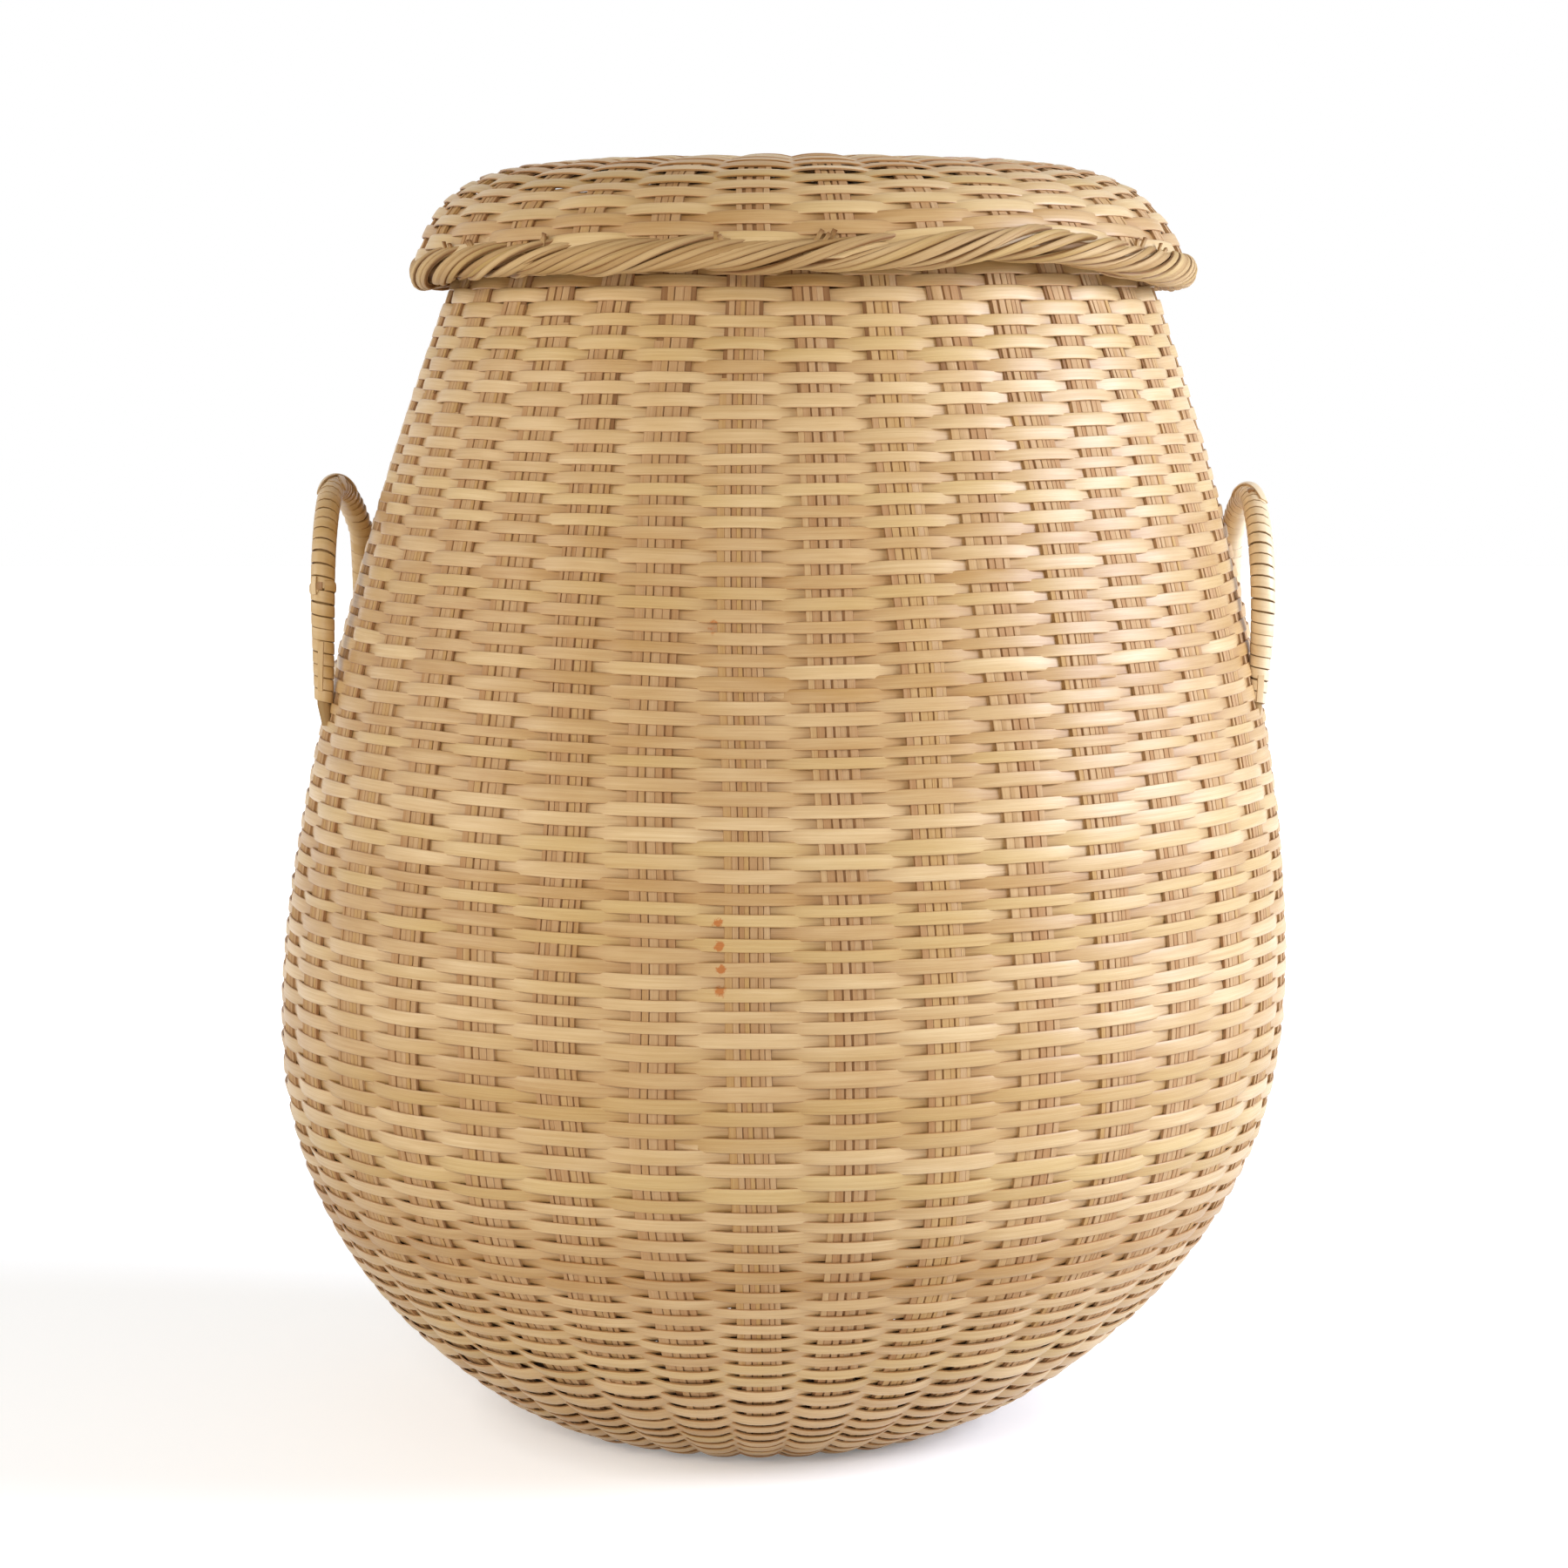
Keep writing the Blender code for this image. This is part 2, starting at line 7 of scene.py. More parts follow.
import bmesh
import bpy
import numpy as np
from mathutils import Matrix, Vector

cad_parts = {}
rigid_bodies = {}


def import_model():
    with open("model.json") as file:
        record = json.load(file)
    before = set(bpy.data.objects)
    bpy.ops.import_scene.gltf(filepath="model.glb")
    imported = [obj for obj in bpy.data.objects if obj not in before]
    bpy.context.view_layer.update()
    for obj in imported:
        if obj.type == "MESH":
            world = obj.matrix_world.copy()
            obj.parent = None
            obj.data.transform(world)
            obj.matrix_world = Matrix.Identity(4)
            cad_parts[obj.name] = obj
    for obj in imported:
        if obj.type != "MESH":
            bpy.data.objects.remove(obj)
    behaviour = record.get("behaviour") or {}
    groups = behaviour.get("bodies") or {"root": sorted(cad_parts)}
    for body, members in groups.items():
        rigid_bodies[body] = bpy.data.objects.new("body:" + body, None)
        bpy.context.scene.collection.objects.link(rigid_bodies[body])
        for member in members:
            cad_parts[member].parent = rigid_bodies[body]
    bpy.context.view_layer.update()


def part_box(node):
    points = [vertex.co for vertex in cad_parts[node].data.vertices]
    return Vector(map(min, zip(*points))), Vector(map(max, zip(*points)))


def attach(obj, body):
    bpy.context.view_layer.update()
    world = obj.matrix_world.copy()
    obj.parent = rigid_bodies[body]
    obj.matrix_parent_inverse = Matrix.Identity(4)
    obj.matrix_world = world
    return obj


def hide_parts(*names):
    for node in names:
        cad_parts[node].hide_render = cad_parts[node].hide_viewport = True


# The basket's outline, on the outer faces of its stakes
BASE_RADIUS = 0.0845
BELLY_RADIUS = 0.2015
BELLY_HEIGHT = 0.179
MOUTH_RADIUS = 0.132
WALL_HEIGHT = 0.474
WALL_THICKNESS = 0.0055
BOWL_SWELL = 2.44
BOWL_TUCK = 0.88
SHOULDER_FALL = 1.6
LEAN = 0.0131
LEAN_BACK = 0.0059
STAKE_TWIST = radians(-6.2)
STAKES = 35
FIRST_STAKE = radians(-3.4)
CROSS_RADIUS = 0.020
CROSS_LEVEL = 0.0030
GAP = 0.0003

# The lid's outline
LID_OVERHANG = 0.022
LID_RADIUS = MOUTH_RADIUS + LID_OVERHANG
LID_RISE = 0.0465
LID_FLATNESS = 8.0
LID_SHOULDER = 1.45
LID_CROWN_START = radians(80.0)
LID_THICKNESS = 0.005
LID_EDGE = 0.0100
LID_STAKES = 29
LID_FIRST_STAKE = radians(5.6)
LID_CROSS_RADIUS = 0.012

# How the lid's rim and crown have warped in use
RIM_WARP = 0.0040
WARP_STEEPNESS = 1.25
WARP_START = 0.12
RIM_HUMP = 0.0045
HUMP_ANGLE = radians(33.0)
HUMP_SPREAD = radians(16.0)
RIM_FADE = 0.045
RIM_FADE_EASE = 1.5
CROWN_SHIFT = 0.0035

# The layer midway through the weave, under the outline
WEAVE_DEPTH = 0.0013
BASE_DEPTH = 0.0024
BASE_DEPTH_FADE = 0.03
OUTLINE_SAMPLES = 900
CORNER_ROUNDING = 0.012
HIDDEN_START = 0.005
WALL_START = 0.0005
BASE_POINTS, WALL_POINTS, RIM_POINTS, CROWN_POINTS = 40, 260, 80, 60

# Weavers: flat canes that go over and under the stakes
WEAVER_SHARE = 1.22
LID_WEAVER_SHARE = 1.16
WEAVER_WIDEST = 0.0053
WEAVER_THICKNESS = 0.0008
WEAVER_CROWN = 16.0
CROWN_SHARES = (0.6, 1.3)
WAVE_HEIGHT = 0.00112
WAVE_SQUARENESS = 1.2
FULL_WAVE_SPACING = 0.017
SPIRAL_SAMPLES = 3000
STEPS_PER_STAKE = 8
CANE_TURNS = (1.0, 2.3)
CANE_WIDTHS = (0.80, 1.14)
JOIN_LAP = 0.45
JOIN_SINK = 0.0009
JOIN_SLOPE = 0.7
# How much a weaver is painted in shade where it passes under a stake
UNDER_SHADE = 0.42
WEAVER_BANDS = (
    ("base", 0.0, 0.08), ("bowl", 0.08, 0.21), ("belly", 0.21, 0.34),
    ("shoulder", 0.34, 0.47), ("neck", 0.47, 1.0),
)

# The bowl's weavers bulge further outwards than the belly's, between these runs
BOWL_WAVE = 0.6
BOWL_WAVE_RUNS = (0.05, 0.09, 0.13, 0.19)
BOWL_FLOAT, BOWL_SINK = 1.6, 0.6
BOWL_WIDENING = 0.15

# How uneven the weavers are from one crossing to the next
ROW_UNEVENNESS = 0.00014
WIDTH_UNEVENNESS = 0.05
WAVE_UNEVENNESS = 0.07
TILT_UNEVENNESS = radians(3.5)
ROLL_UNEVENNESS = radians(2.0)

# A stake's bundle: its width, its fewest and most splints, and the gaps between them
BUNDLE = (0.0168, (5, 7), (0.0001, 0.00012, 0.0002, 0.0004, 0.0007))
LID_BUNDLE = (0.0112, (3, 4), (0.0002, 0.0004, 0.0006, 0.0009, 0.0014))

# Splints, the strip behind them, and the share of a stake's spacing that they fill
BUNDLE_SHARE = 0.58
GAP_ODDS = (0.42, 0.28, 0.16, 0.09, 0.05)
SPLINT_WIDTHS = (0.65, 1.35)
SPLINT_NARROWEST = 0.35
SPLINT_THICKNESS = 0.0012
SPLINT_STEP = 0.007
SPLINT_ASIDE = 0.00008
SPLINT_STANDOUT = 0.00012
BACKING_DEPTH = 0.0003
BACKING_SHARE = 0.94
# The strip behind the splints is partly painted in shade, standing for the shade in their gaps
BACKING_PAINTED_LIGHT = 0.55
SPLINT_FIT = 0.3
SPLINT_INSET, LID_SPLINT_INSET = 0.001, 0.0005
GRAIN_STRETCH = 50.0
GRAIN_STEP = 0.37

# Crossings of stakes: round patches of strips that reach past the inner ends of the wall
CROSSING_WIDTHS = (0.8, 0.95)
CROSSING_LAP, LID_CROSSING_LAP = 0.006, 0.004
CROSSING_ROUNDNESS, CROSSING_SHORTEST = 1.1, 0.2
CROSSING_STEPS = 6

# Borders: groups of splints that wind round a ring of stake ends
MOUTH_BORDER_RADIUS = 0.0056
LID_BORDER_RADIUS = 0.0060
MOUTH_BORDER_WINDS, LID_BORDER_WINDS = 9.5, 9.0
MOUTH_STRAND_WIDTH, LID_STRAND_WIDTH = 0.0022, 0.0028
GROUP_STRANDS = 5
GROUP_ASIDE = 0.028
GROUP_STANDOUT = 0.0004
GROUP_CROWN = 0.0011
STRAND_STATIONS = 26
STRAND_THICKNESS = 0.0020
STRAND_WIDTHS = (0.82, 1.04)
STRAND_SPANS = (1.02, 1.2)
STRAND_SPACING = 0.92
STRAND_START = 0.75 * pi
STRAND_ASIDE = 0.28
STRAND_STANDOUT = 0.0003
STRAND_SWERVE = 0.16
TUCK_SHARE = 0.16
TUCK_DEPTH = 0.0016
FILLING_SHARE = 1.2
# The filling ring's level of light: it is partly painted in shade, inside its border
FILLING_PAINTED_LIGHT = 0.5
FILLING_STATIONS = 181

# Cut splint ends on the lid's border: (degrees from the front, how many)
CUT_ENDS = (
    (-61.0, 3), (-54.0, 2), (-39.0, 2), (-11.0, 2), (3.0, 3),
    (57.0, 2), (64.0, 2), (141.0, 2), (-158.0, 3),
)
CUT_SPACING = 0.0026
CUT_SINK = 0.0012
CUT_TURNS = (0.9, 1.25)
CUT_SLANTS = (-0.5, 0.9)
CUT_RISE, CUT_LIFT = 0.75, 0.25
CUT_LENGTHS = (0.0036, 0.0055)
CUT_WIDTHS = (0.0014, 0.0020)
CUT_THICKNESS = 0.0010
CUT_TONES = (0.3, 1.0)
CUT_LEVELS = (0.9, 0.9, 0.7, 0.1)

# Handles: a bent cane with a flat strip wound round it
LEFT, RIGHT = -1.0, 1.0
HANDLE_SPREAD = 0.092
HANDLE_TOP = 0.3788
RIGHT_HANDLE_TOP = 0.3758
HANDLE_FOOT = 0.291
HANDLE_STANDOFF = 0.0026
LEFT_LEAN, RIGHT_LEAN = 0.0065, 0.0035
RIGHT_INSET = 0.0012
RIGHT_BOW = 0.0026
RIGHT_BOW_ABOVE = 0.3
CORE_RADIUS = 0.0036
CORE_STATIONS = 80
FOOT_SLIMNESS = 0.72
SLIM_START = 0.45
SLIM_EASE = 1.5
TAIL_FOOT = 0.283
TAIL_INSET = 0.0040
TAIL_STATIONS = 12
TAIL_TIP, TAIL_SWELL = 0.3, 0.25
BINDING_OUTSIDE = 0.0049
BINDING_FOOT = 0.2925
BINDING_TURNS = (("left", LEFT, 45), ("right", RIGHT, 48))
BINDING_SLIT = 0.0002
BINDING_WANDER = 0.0002
BINDING_CROWN = 5.0
# Painted light and shade: the binding's tone runs from deep on the left handle, in shade, to pale on
# the right, in the light
BINDING_PAINTED_SHADE = BINDING_WARMTH = 0.45
STRIP_THICKNESS = 0.0008
LAID_CROWN = 80.0
TURN_STATIONS = 12
LAID_STATIONS = 24
HOOP_SAMPLES = 600

# Short strips laid on the bound handles, and the left one's tie. Each goes through shares of
# the hoop's length and degrees round it; then its lift, width, tone and level of painted light.
# Those at a level of 0 take the painted shade colour all over; the right handle's stands for a
# hole in shadow.
LAID_STRIPS = {
    "left": (
        ((0.43, 0.50, 0.57), (250.0, 180.0, 110.0), 0.0005, 0.0038, 0.4, 1.0),
        ((0.46, 0.52, 0.60), (110.0, 180.0, 240.0), 0.0002, 0.0038, 0.8, 1.0),
        ((0.02, 0.11), (195.0, 185.0), 0.0001, 0.0022, 0.9, 1.0),
    ),
    "right": (
        ((0.40, 0.48, 0.55), (140.0, 180.0, 250.0), 0.0003, 0.0040, 0.1, 1.0),
        ((0.428, 0.440), (195.0, 195.0), 0.0005, 0.0024, 1.0, 0.0),
        ((0.0, 0.05), (165.0, 175.0), 0.0002, 0.0026, 0.3, 1.0),
    ),
    "tie": (
        ((0.203, 0.205, 0.207), (-165.0, 0.0, 165.0), 0.0001, 0.0040, 0.9, 1.0),
        ((0.192, 0.222), (215.0, 215.0), 0.0004, 0.0024, 0.6, 1.0),
        ((0.2, 0.212), (190.0, 190.0), 0.0001, 0.0026, 1.0, 0.0),
    ),
}

# Camera, fitted to the photograph
CAMERA_BACK = 1.60
CAMERA_HEIGHT = 0.4332
CAMERA_DIP = radians(6.36)
LENS = 91.8
SENSOR = 36.0

# Lamps: (name, place, target, size, power, colour), and the light of the white room
LAMPS = (
    ("key_lamp", (2.0, -0.3, 1.0), (0.05, 0.0, 0.25), 1.1, 49.0, (0.88, 1.0, 1.27)),
    ("front_lamp", (-0.5, -2.1, 1.2), (0.0, 0.0, 0.22), 0.42, 11.0, (1.0, 0.97, 0.92)),
    ("low_lamp", (0.1, -2.0, 0.34), (0.0, 0.0, 0.3), 0.5, 5.0, (1.0, 0.96, 0.88)),
    ("left_lamp", (-2.1, -0.5, 0.8), (0.0, 0.0, 0.22), 1.2, 15.5, (1.0, 0.98, 0.93)),
)
ROOM_LIGHT = 0.27
WHITE = (1.0, 1.0, 1.0, 1.0)

# The floor's own brightness to the camera: it rises to some over the first distances from the
# middle, beside the basket, which leaves a painted shadow round its foot, and to plain white
# over the second
FLOOR_HALF = 6.0
FLOOR_COLOUR = (0.9, 0.9, 0.9, 1.0)
FLOOR_ROUGHNESS = 0.9
FLOOR_GLOW = 0.48
FLOOR_PAINTED_SHADOW = (0.05, 0.13)
FLOOR_FAR = (0.5, 1.1)

# Wet marks on the cane: where each is, and how far it reaches
STAIN_COLOUR = (0.50, 0.16, 0.012, 1.0)
STAIN_RAGGEDNESS = 0.005
STAIN_GRAIN = 420.0
STAIN_EDGE = 0.6
STAINS = (
    ((-0.0238, -0.1962, 0.2270), 0.0020),
    ((-0.0232, -0.1972, 0.2190), 0.0022),
    ((-0.0222, -0.1982, 0.2105), 0.0020),
    ((-0.0228, -0.1988, 0.2036), 0.0026),
    ((-0.0335, -0.1935, 0.2530), 0.0024),
    ((0.0390, -0.1930, 0.2525), 0.0020),
    ((-0.0260, -0.1758, 0.3310), 0.0028),
)

# Grain: how often it changes along a cane, across it and from one cane to the next
FINE_FIBRES = (60.0, 4200.0, 9.0)
BROAD_FIBRES = (14.0, 900.0, 5.0)
BLOTCHES = (26.0, 120.0, 11.0)
GROOVE_TINT = (0.80, 0.70, 0.56, 1.0)
FINE_SHARE, BROAD_SHARE = 0.6, 0.4
RELIEF_DEPTH = 0.0002
SPECULAR = 0.3
COAT_ROUGHNESS = 0.46
GROOVE_DULLNESS, RIDGE_SHINE = 0.12, 0.08
GROOVE_SPAN = (0.2, 0.8)

# How a cane's tone, warmth and blotches bring in its deep and yellow colours, and at most how much of
# the painted shade colour its shaded parts take
TONE_SHARE, TONE_BLOTCHES, WARMTH_BLOTCHES = 0.6, 0.9, 0.4
TONE_SPAN, WARMTH_SPAN = (0.35, 1.1), (0.86, 1.36)
PAINTED_SHADE_MOST = 0.9

# Finishes: their pale, deep and yellow colours, the painted shade colour for their shaded sides and
# sunken parts, and their grain and sheen
FINISHES = {
    "weaver": dict(
        name="weaver_cane", pale=(0.77, 0.555, 0.29), deep=(0.51, 0.295, 0.098),
        yellow=(0.66, 0.46, 0.18), painted_shade=(0.30, 0.10, 0.012),
        contrast=0.9, coarseness=1.7, roughness=0.44, bump=0.5, coat=0.5,
    ),
    "splint": dict(
        name="stake_splint", pale=(0.64, 0.43, 0.23), deep=(0.48, 0.265, 0.115),
        yellow=(0.60, 0.38, 0.14), painted_shade=(0.14, 0.045, 0.006),
        contrast=0.9, coarseness=1.6, roughness=0.72, bump=0.5,
    ),
    "border": dict(
        name="border_cane", pale=(0.68, 0.475, 0.235), deep=(0.42, 0.245, 0.088),
        yellow=(0.55, 0.37, 0.125), painted_shade=(0.18, 0.06, 0.010),
        contrast=0.9, coarseness=1.5, roughness=0.6, bump=0.5,
    ),
    # Painted light: the strip's pale colour is brightened for the lit right handle, whose binding
    # takes it, while the left one's takes the deep colour as painted shade
    "strip": dict(
        name="handle_strip", pale=(0.90, 0.72, 0.46), deep=(0.58, 0.37, 0.14),
        yellow=(0.66, 0.46, 0.16), painted_shade=(0.30, 0.14, 0.035),
        contrast=0.7, coarseness=1.2, roughness=0.40, bump=0.3, coat=0.5,
    ),
    "core": dict(
        name="handle_core", pale=(0.44, 0.28, 0.12), deep=(0.34, 0.21, 0.08),
        yellow=(0.38, 0.26, 0.09), painted_shade=(0.34, 0.20, 0.07),
        contrast=0.8, coarseness=1.4, roughness=0.65, bump=0.5,
    ),
}

SEED = 35


def above_belly(height):
    """A height as a share of the rise from belly to mouth, negative under the belly."""
    return (height - BELLY_HEIGHT) / (WALL_HEIGHT - BELLY_HEIGHT)


def wall_radius(height):
    """The basket's outer radius at a height."""
    if height < BELLY_HEIGHT:
        below = 1.0 - height / BELLY_HEIGHT
        swell = (1.0 - below**BOWL_SWELL) ** BOWL_TUCK
        return BASE_RADIUS + (BELLY_RADIUS - BASE_RADIUS) * swell
    return BELLY_RADIUS - (BELLY_RADIUS - MOUTH_RADIUS) * above_belly(height) ** SHOULDER_FALL


def sway(height):
    """How far the basket's middle stands to the right at a height."""
    share = above_belly(height)
    return LEAN * share - LEAN_BACK * share * share


def lid_height(radius):
    return LID_RISE * (1.0 - (radius / LID_RADIUS) ** LID_FLATNESS) ** (1.0 / LID_SHOULDER)


def lid_radius(height):
    return LID_RADIUS * (1.0 - (height / LID_RISE) ** LID_SHOULDER) ** (1.0 / LID_FLATNESS)


def rim_rise(angle):
    """How far the lid's woven rim has warped upwards at an angle: most at the front, right of
    its middle, where the border's end is worked in."""
    turn = (angle + pi) % tau - pi
    front = np.clip(WARP_STEEPNESS * np.abs(np.cos(turn)) - WARP_START, 0.0, 1.0)
    hump = RIM_HUMP * np.exp(-(((turn - HUMP_ANGLE) / HUMP_SPREAD) ** 2))
    return RIM_WARP * front * front * (3.0 - 2.0 * front) + hump


def unit(vectors):
    return vectors / np.linalg.norm(vectors, axis=-1)[..., None]


def facing(angle):
    """The level direction outwards from the middle at an angle."""
    return np.stack([np.sin(angle), -np.cos(angle), 0.0 * angle], axis=-1)


def sideways(angle):
    """The level direction round the middle at an angle."""
    return np.stack([np.cos(angle), np.sin(angle), 0.0 * angle], axis=-1)


class Shell:
    """A woven shell: an outline of (radius, height) turned about the upright axis, moved in
    to the layer midway through its weave. A run is a length along that outline."""

    def __init__(self, outline, depths, stakes, first, twist, lean, warp=0.0):
        self.warp = warp
        points = np.array(outline)
        run = np.concatenate([[0.0], np.cumsum(np.hypot(*np.diff(points, axis=0).T))])
        self.length = run[-1]
        self.run = np.linspace(0.0, self.length, OUTLINE_SAMPLES)
        even = np.stack([np.interp(self.run, run, points[:, i]) for i in (0, 1)], axis=1)
        way = np.gradient(even, self.run, axis=0)
        reach = int(CORNER_ROUNDING / self.run[1] / 2.0)
        padded = np.pad(way, ((reach, reach), (0, 0)), mode="edge")
        window = np.ones(2 * reach + 1) / (2 * reach + 1)
        way = np.stack([np.convolve(padded[:, i], window, "valid") for i in (0, 1)], axis=1)
        self.way = unit(way)
        self.normal = np.stack([self.way[:, 1], -self.way[:, 0]], axis=1)
        depth = np.interp(self.run, depths[0], depths[1])
        self.middle = even - self.normal * depth[:, None]
        self.stakes, self.first, self.twist, self.lean = stakes, first, twist, lean

    def at(self, run, values):
        return np.interp(run, self.run, values)

    def radius(self, run):
        return self.at(run, self.middle[:, 0])

    def stake_angle(self, count, run):
        """The angle of a stake, or of a place between two, by its count from the first."""
        turn = self.first + tau * count / self.stakes
        return turn + self.twist * above_belly(self.at(run, self.middle[:, 1]))

    def place(self, run, angle, out=0.0):
        radius = self.radius(run) + out * self.at(run, self.normal[:, 0])
        height = self.at(run, self.middle[:, 1]) + out * self.at(run, self.normal[:, 1])
        if self.warp:
            fade = np.clip(1.0 - run / self.warp, 0.0, 1.0) ** RIM_FADE_EASE
            height = height + rim_rise(angle) * fade
        return np.stack(
            [radius * np.sin(angle) + self.lean(height), -radius * np.cos(angle), height], axis=-1
        )

    def turned(self, run, angle, pair):
        """A direction in the outline's plane, given as (outwards, up), at an angle."""
        across, up = self.at(run, pair[:, 0]), self.at(run, pair[:, 1])
        return np.stack([across * np.sin(angle), -across * np.cos(angle), up], axis=-1)


def basket_shell():
    outline = [(radius, 0.0) for radius in np.linspace(CROSS_RADIUS, BASE_RADIUS, BASE_POINTS)]
    heights = np.linspace(WALL_START, WALL_HEIGHT + HIDDEN_START, WALL_POINTS)
    outline += [(wall_radius(height), height) for height in heights]
    floor_run = BASE_RADIUS - CROSS_RADIUS
    runs = (0.0, floor_run, floor_run + BASE_DEPTH_FADE)
    depths = (runs, (BASE_DEPTH, BASE_DEPTH, WEAVE_DEPTH))
    return Shell(outline, depths, STAKES, FIRST_STAKE, STAKE_TWIST, sway)


def lid_shell(level):
    edge = asin((LID_EDGE - HIDDEN_START) / LID_RISE)
    heights = [LID_RISE * sin(turn) for turn in np.linspace(edge, LID_CROWN_START, RIM_POINTS)]
    outline = [(lid_radius(height), level + height) for height in heights]
    radii = np.linspace(lid_radius(heights[-1]), LID_CROSS_RADIUS, CROWN_POINTS)[1:]
    outline += [(radius, level + lid_height(radius)) for radius in radii]
    middle = sway(WALL_HEIGHT)

    def lean(height):
        return middle - CROWN_SHIFT * np.clip((height - level) / LID_RISE, 0.0, 1.0)

    depths = ((0.0, 1.0), (WEAVE_DEPTH, WEAVE_DEPTH))
    return Shell(outline, depths, LID_STAKES, LID_FIRST_STAKE, 0.0, lean, RIM_FADE)


class Drift:
    """The unevenness of hand work over a shell: slow waves round it and along it."""

    def __init__(self, rng, size, waves, around, along):
        self.size = size / sqrt(waves / 2.0)
        self.around = rng.integers(1, around + 1, waves)
        self.along = rng.uniform(0.3, 1.0, waves) * rng.choice((-1.0, 1.0), waves) * tau / along
        self.phase = rng.uniform(0.0, tau, waves)

    def __call__(self, angle, run):
        total = 0.0
        for around, along, phase in zip(self.around, self.along, self.phase):
            total = total + np.sin(around * angle + along * run + phase)
        return self.size * total


# Edges of a cane that turn more than this stay crisp
SHARP_ANGLE = radians(32.0)

# A cane's sides, which its neighbours shade, reach from its middle up to these lifts; painted
# shade lies on them, fading out over the second
SIDE_LIFT = 0.2
SIDE_FADE = 0.25

# Outlines of one cane across its width: (side, lift), in half widths and in thicknesses
WEAVER_SECTION = (
    (-1.0, -0.34), (-1.0, 0.24), (-0.9, 0.46), (-0.45, 0.5), (0.45, 0.5),
    (0.9, 0.46), (1.0, 0.24), (1.0, -0.34), (0.88, -0.5), (-0.88, -0.5),
)
STRAND_SECTION = (
    (-1.0, -0.1), (-0.84, 0.38), (-0.35, 0.5), (0.35, 0.5),
    (0.84, 0.38), (1.0, -0.1), (0.8, -0.5), (-0.8, -0.5),
)
SPLINT_SECTION = ((-1.0, -0.5), (-1.0, 0.34), (-0.84, 0.5), (0.84, 0.5), (1.0, 0.34), (1.0, -0.5))
ROUND_SECTION = tuple((-cos(tau * i / 12), 0.5 * sin(tau * i / 12)) for i in range(12))


class Strand:
    """One cane laid along a line, as the corners of its section at each station."""

    def __init__(self, line, outwards, across, width, thickness, section, crown=0.0, **marks):
        stations = len(line)
        side, lift = np.array(section).T
        half = np.broadcast_to(np.asarray(width) / 2.0, stations)[:, None]
        thick = np.broadcast_to(np.asarray(thickness), stations)[:, None]
        reach = half * side
        rise = thick * lift - crown * reach * reach
        places = line[:, None] + across[:, None] * reach[..., None]
        places = places + outwards[:, None] * rise[..., None]
        along = np.concatenate([[0.0], np.cumsum(np.linalg.norm(np.diff(line, axis=0), axis=1))])
        middle = len(line) // 2
        forward = line[min(middle + 1, stations - 1)] - line[middle - 1]
        if np.cross(across[middle], outwards[middle]) @ forward > 0.0:
            places, reach, lift = places[:, ::-1], reach[:, ::-1], lift[::-1]
        ends = line[[0, -1]][:, None].repeat(len(side), axis=1)
        self.places = np.concatenate([ends[:1], places, ends[1:]])
        padded = np.concatenate([[0], np.arange(stations), [stations - 1]])
        number = marks.get("number", 0.0)
        way = np.stack([along[:, None] + 0.0 * reach, reach, 0.0 * reach + number], axis=-1)
        self.way = way[padded]
        # Painted shade: the sides of the section, and stations at a lower level of light, take the
        # shade colour through the third part of kind
        face = np.clip((np.abs(lift) - SIDE_LIFT) / SIDE_FADE, 0.0, 1.0)
        shown = np.broadcast_to(marks.get("level", 1.0), stations)[:, None] * face
        tone, warmth = marks.get("tone", 0.5), marks.get("warmth", 0.5)
        kind = [tone + 0.0 * shown, warmth + 0.0 * shown, shown]
        self.kind = np.stack(kind, axis=-1)[padded]


def by_chance(rng):
    """A cane's own tone, its warmth and where its grain starts."""
    return {
        "tone": rng.uniform(0.0, 1.0),
        "warmth": rng.uniform(0.0, 1.0),
        "number": rng.uniform(0.0, GRAIN_STRETCH),
    }


def skin(name, strands, finish, body, slot, *nodes):
    """Closes the skin over each strand, as one piece, and puts it in its place."""
    bm = bmesh.new()
    for strand in strands:
        stations, corners = strand.places.shape[:2]
        bmesh.ops.create_grid(bm, x_segments=corners, y_segments=stations - 1, size=1.0)
    bm.verts.ensure_lookup_table()
    kept = np.ones(len(bm.verts), bool)
    weld = {}
    first = 0
    for strand in strands:
        stations, corners = strand.places.shape[:2]
        row = corners + 1
        for station in range(stations):
            start = first + station * row
            shut = range(1, row) if station in (0, stations - 1) else (corners,)
            for corner in shut:
                weld[bm.verts[start + corner]] = bm.verts[start]
                kept[start + corner] = False
        first += stations * row
    bmesh.ops.weld_verts(bm, targetmap=weld)
    mesh = bpy.data.meshes.new(name)
    bm.to_mesh(mesh)
    bm.free()

    def spread(which):
        grids = [getattr(strand, which) for strand in strands]
        closed = [np.concatenate([grid, grid[:, :1]], axis=1).reshape(-1, 3) for grid in grids]
        return np.concatenate(closed)[kept].astype(np.float32).ravel()

    mesh.vertices.foreach_set("co", spread("places"))
    for which in ("way", "kind"):
        layer = mesh.attributes.new("cane_" + which, "FLOAT_VECTOR", "POINT")
        layer.data.foreach_set("vector", spread(which))
    mesh.shade_smooth()
    mesh.set_sharp_from_angle(angle=SHARP_ANGLE)
    mesh.materials.append(finish)
    piece = bpy.data.objects.new(name, mesh)
    bpy.context.scene.collection.objects.link(piece)
    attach(piece, body)
    if nodes:
        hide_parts(*nodes)


def wave(count):
    """How far a weaver is over (1) or under (-1) at a count of stakes."""
    return np.tanh(WAVE_SQUARENESS * np.cos(pi * count)) / np.tanh(WAVE_SQUARENESS)


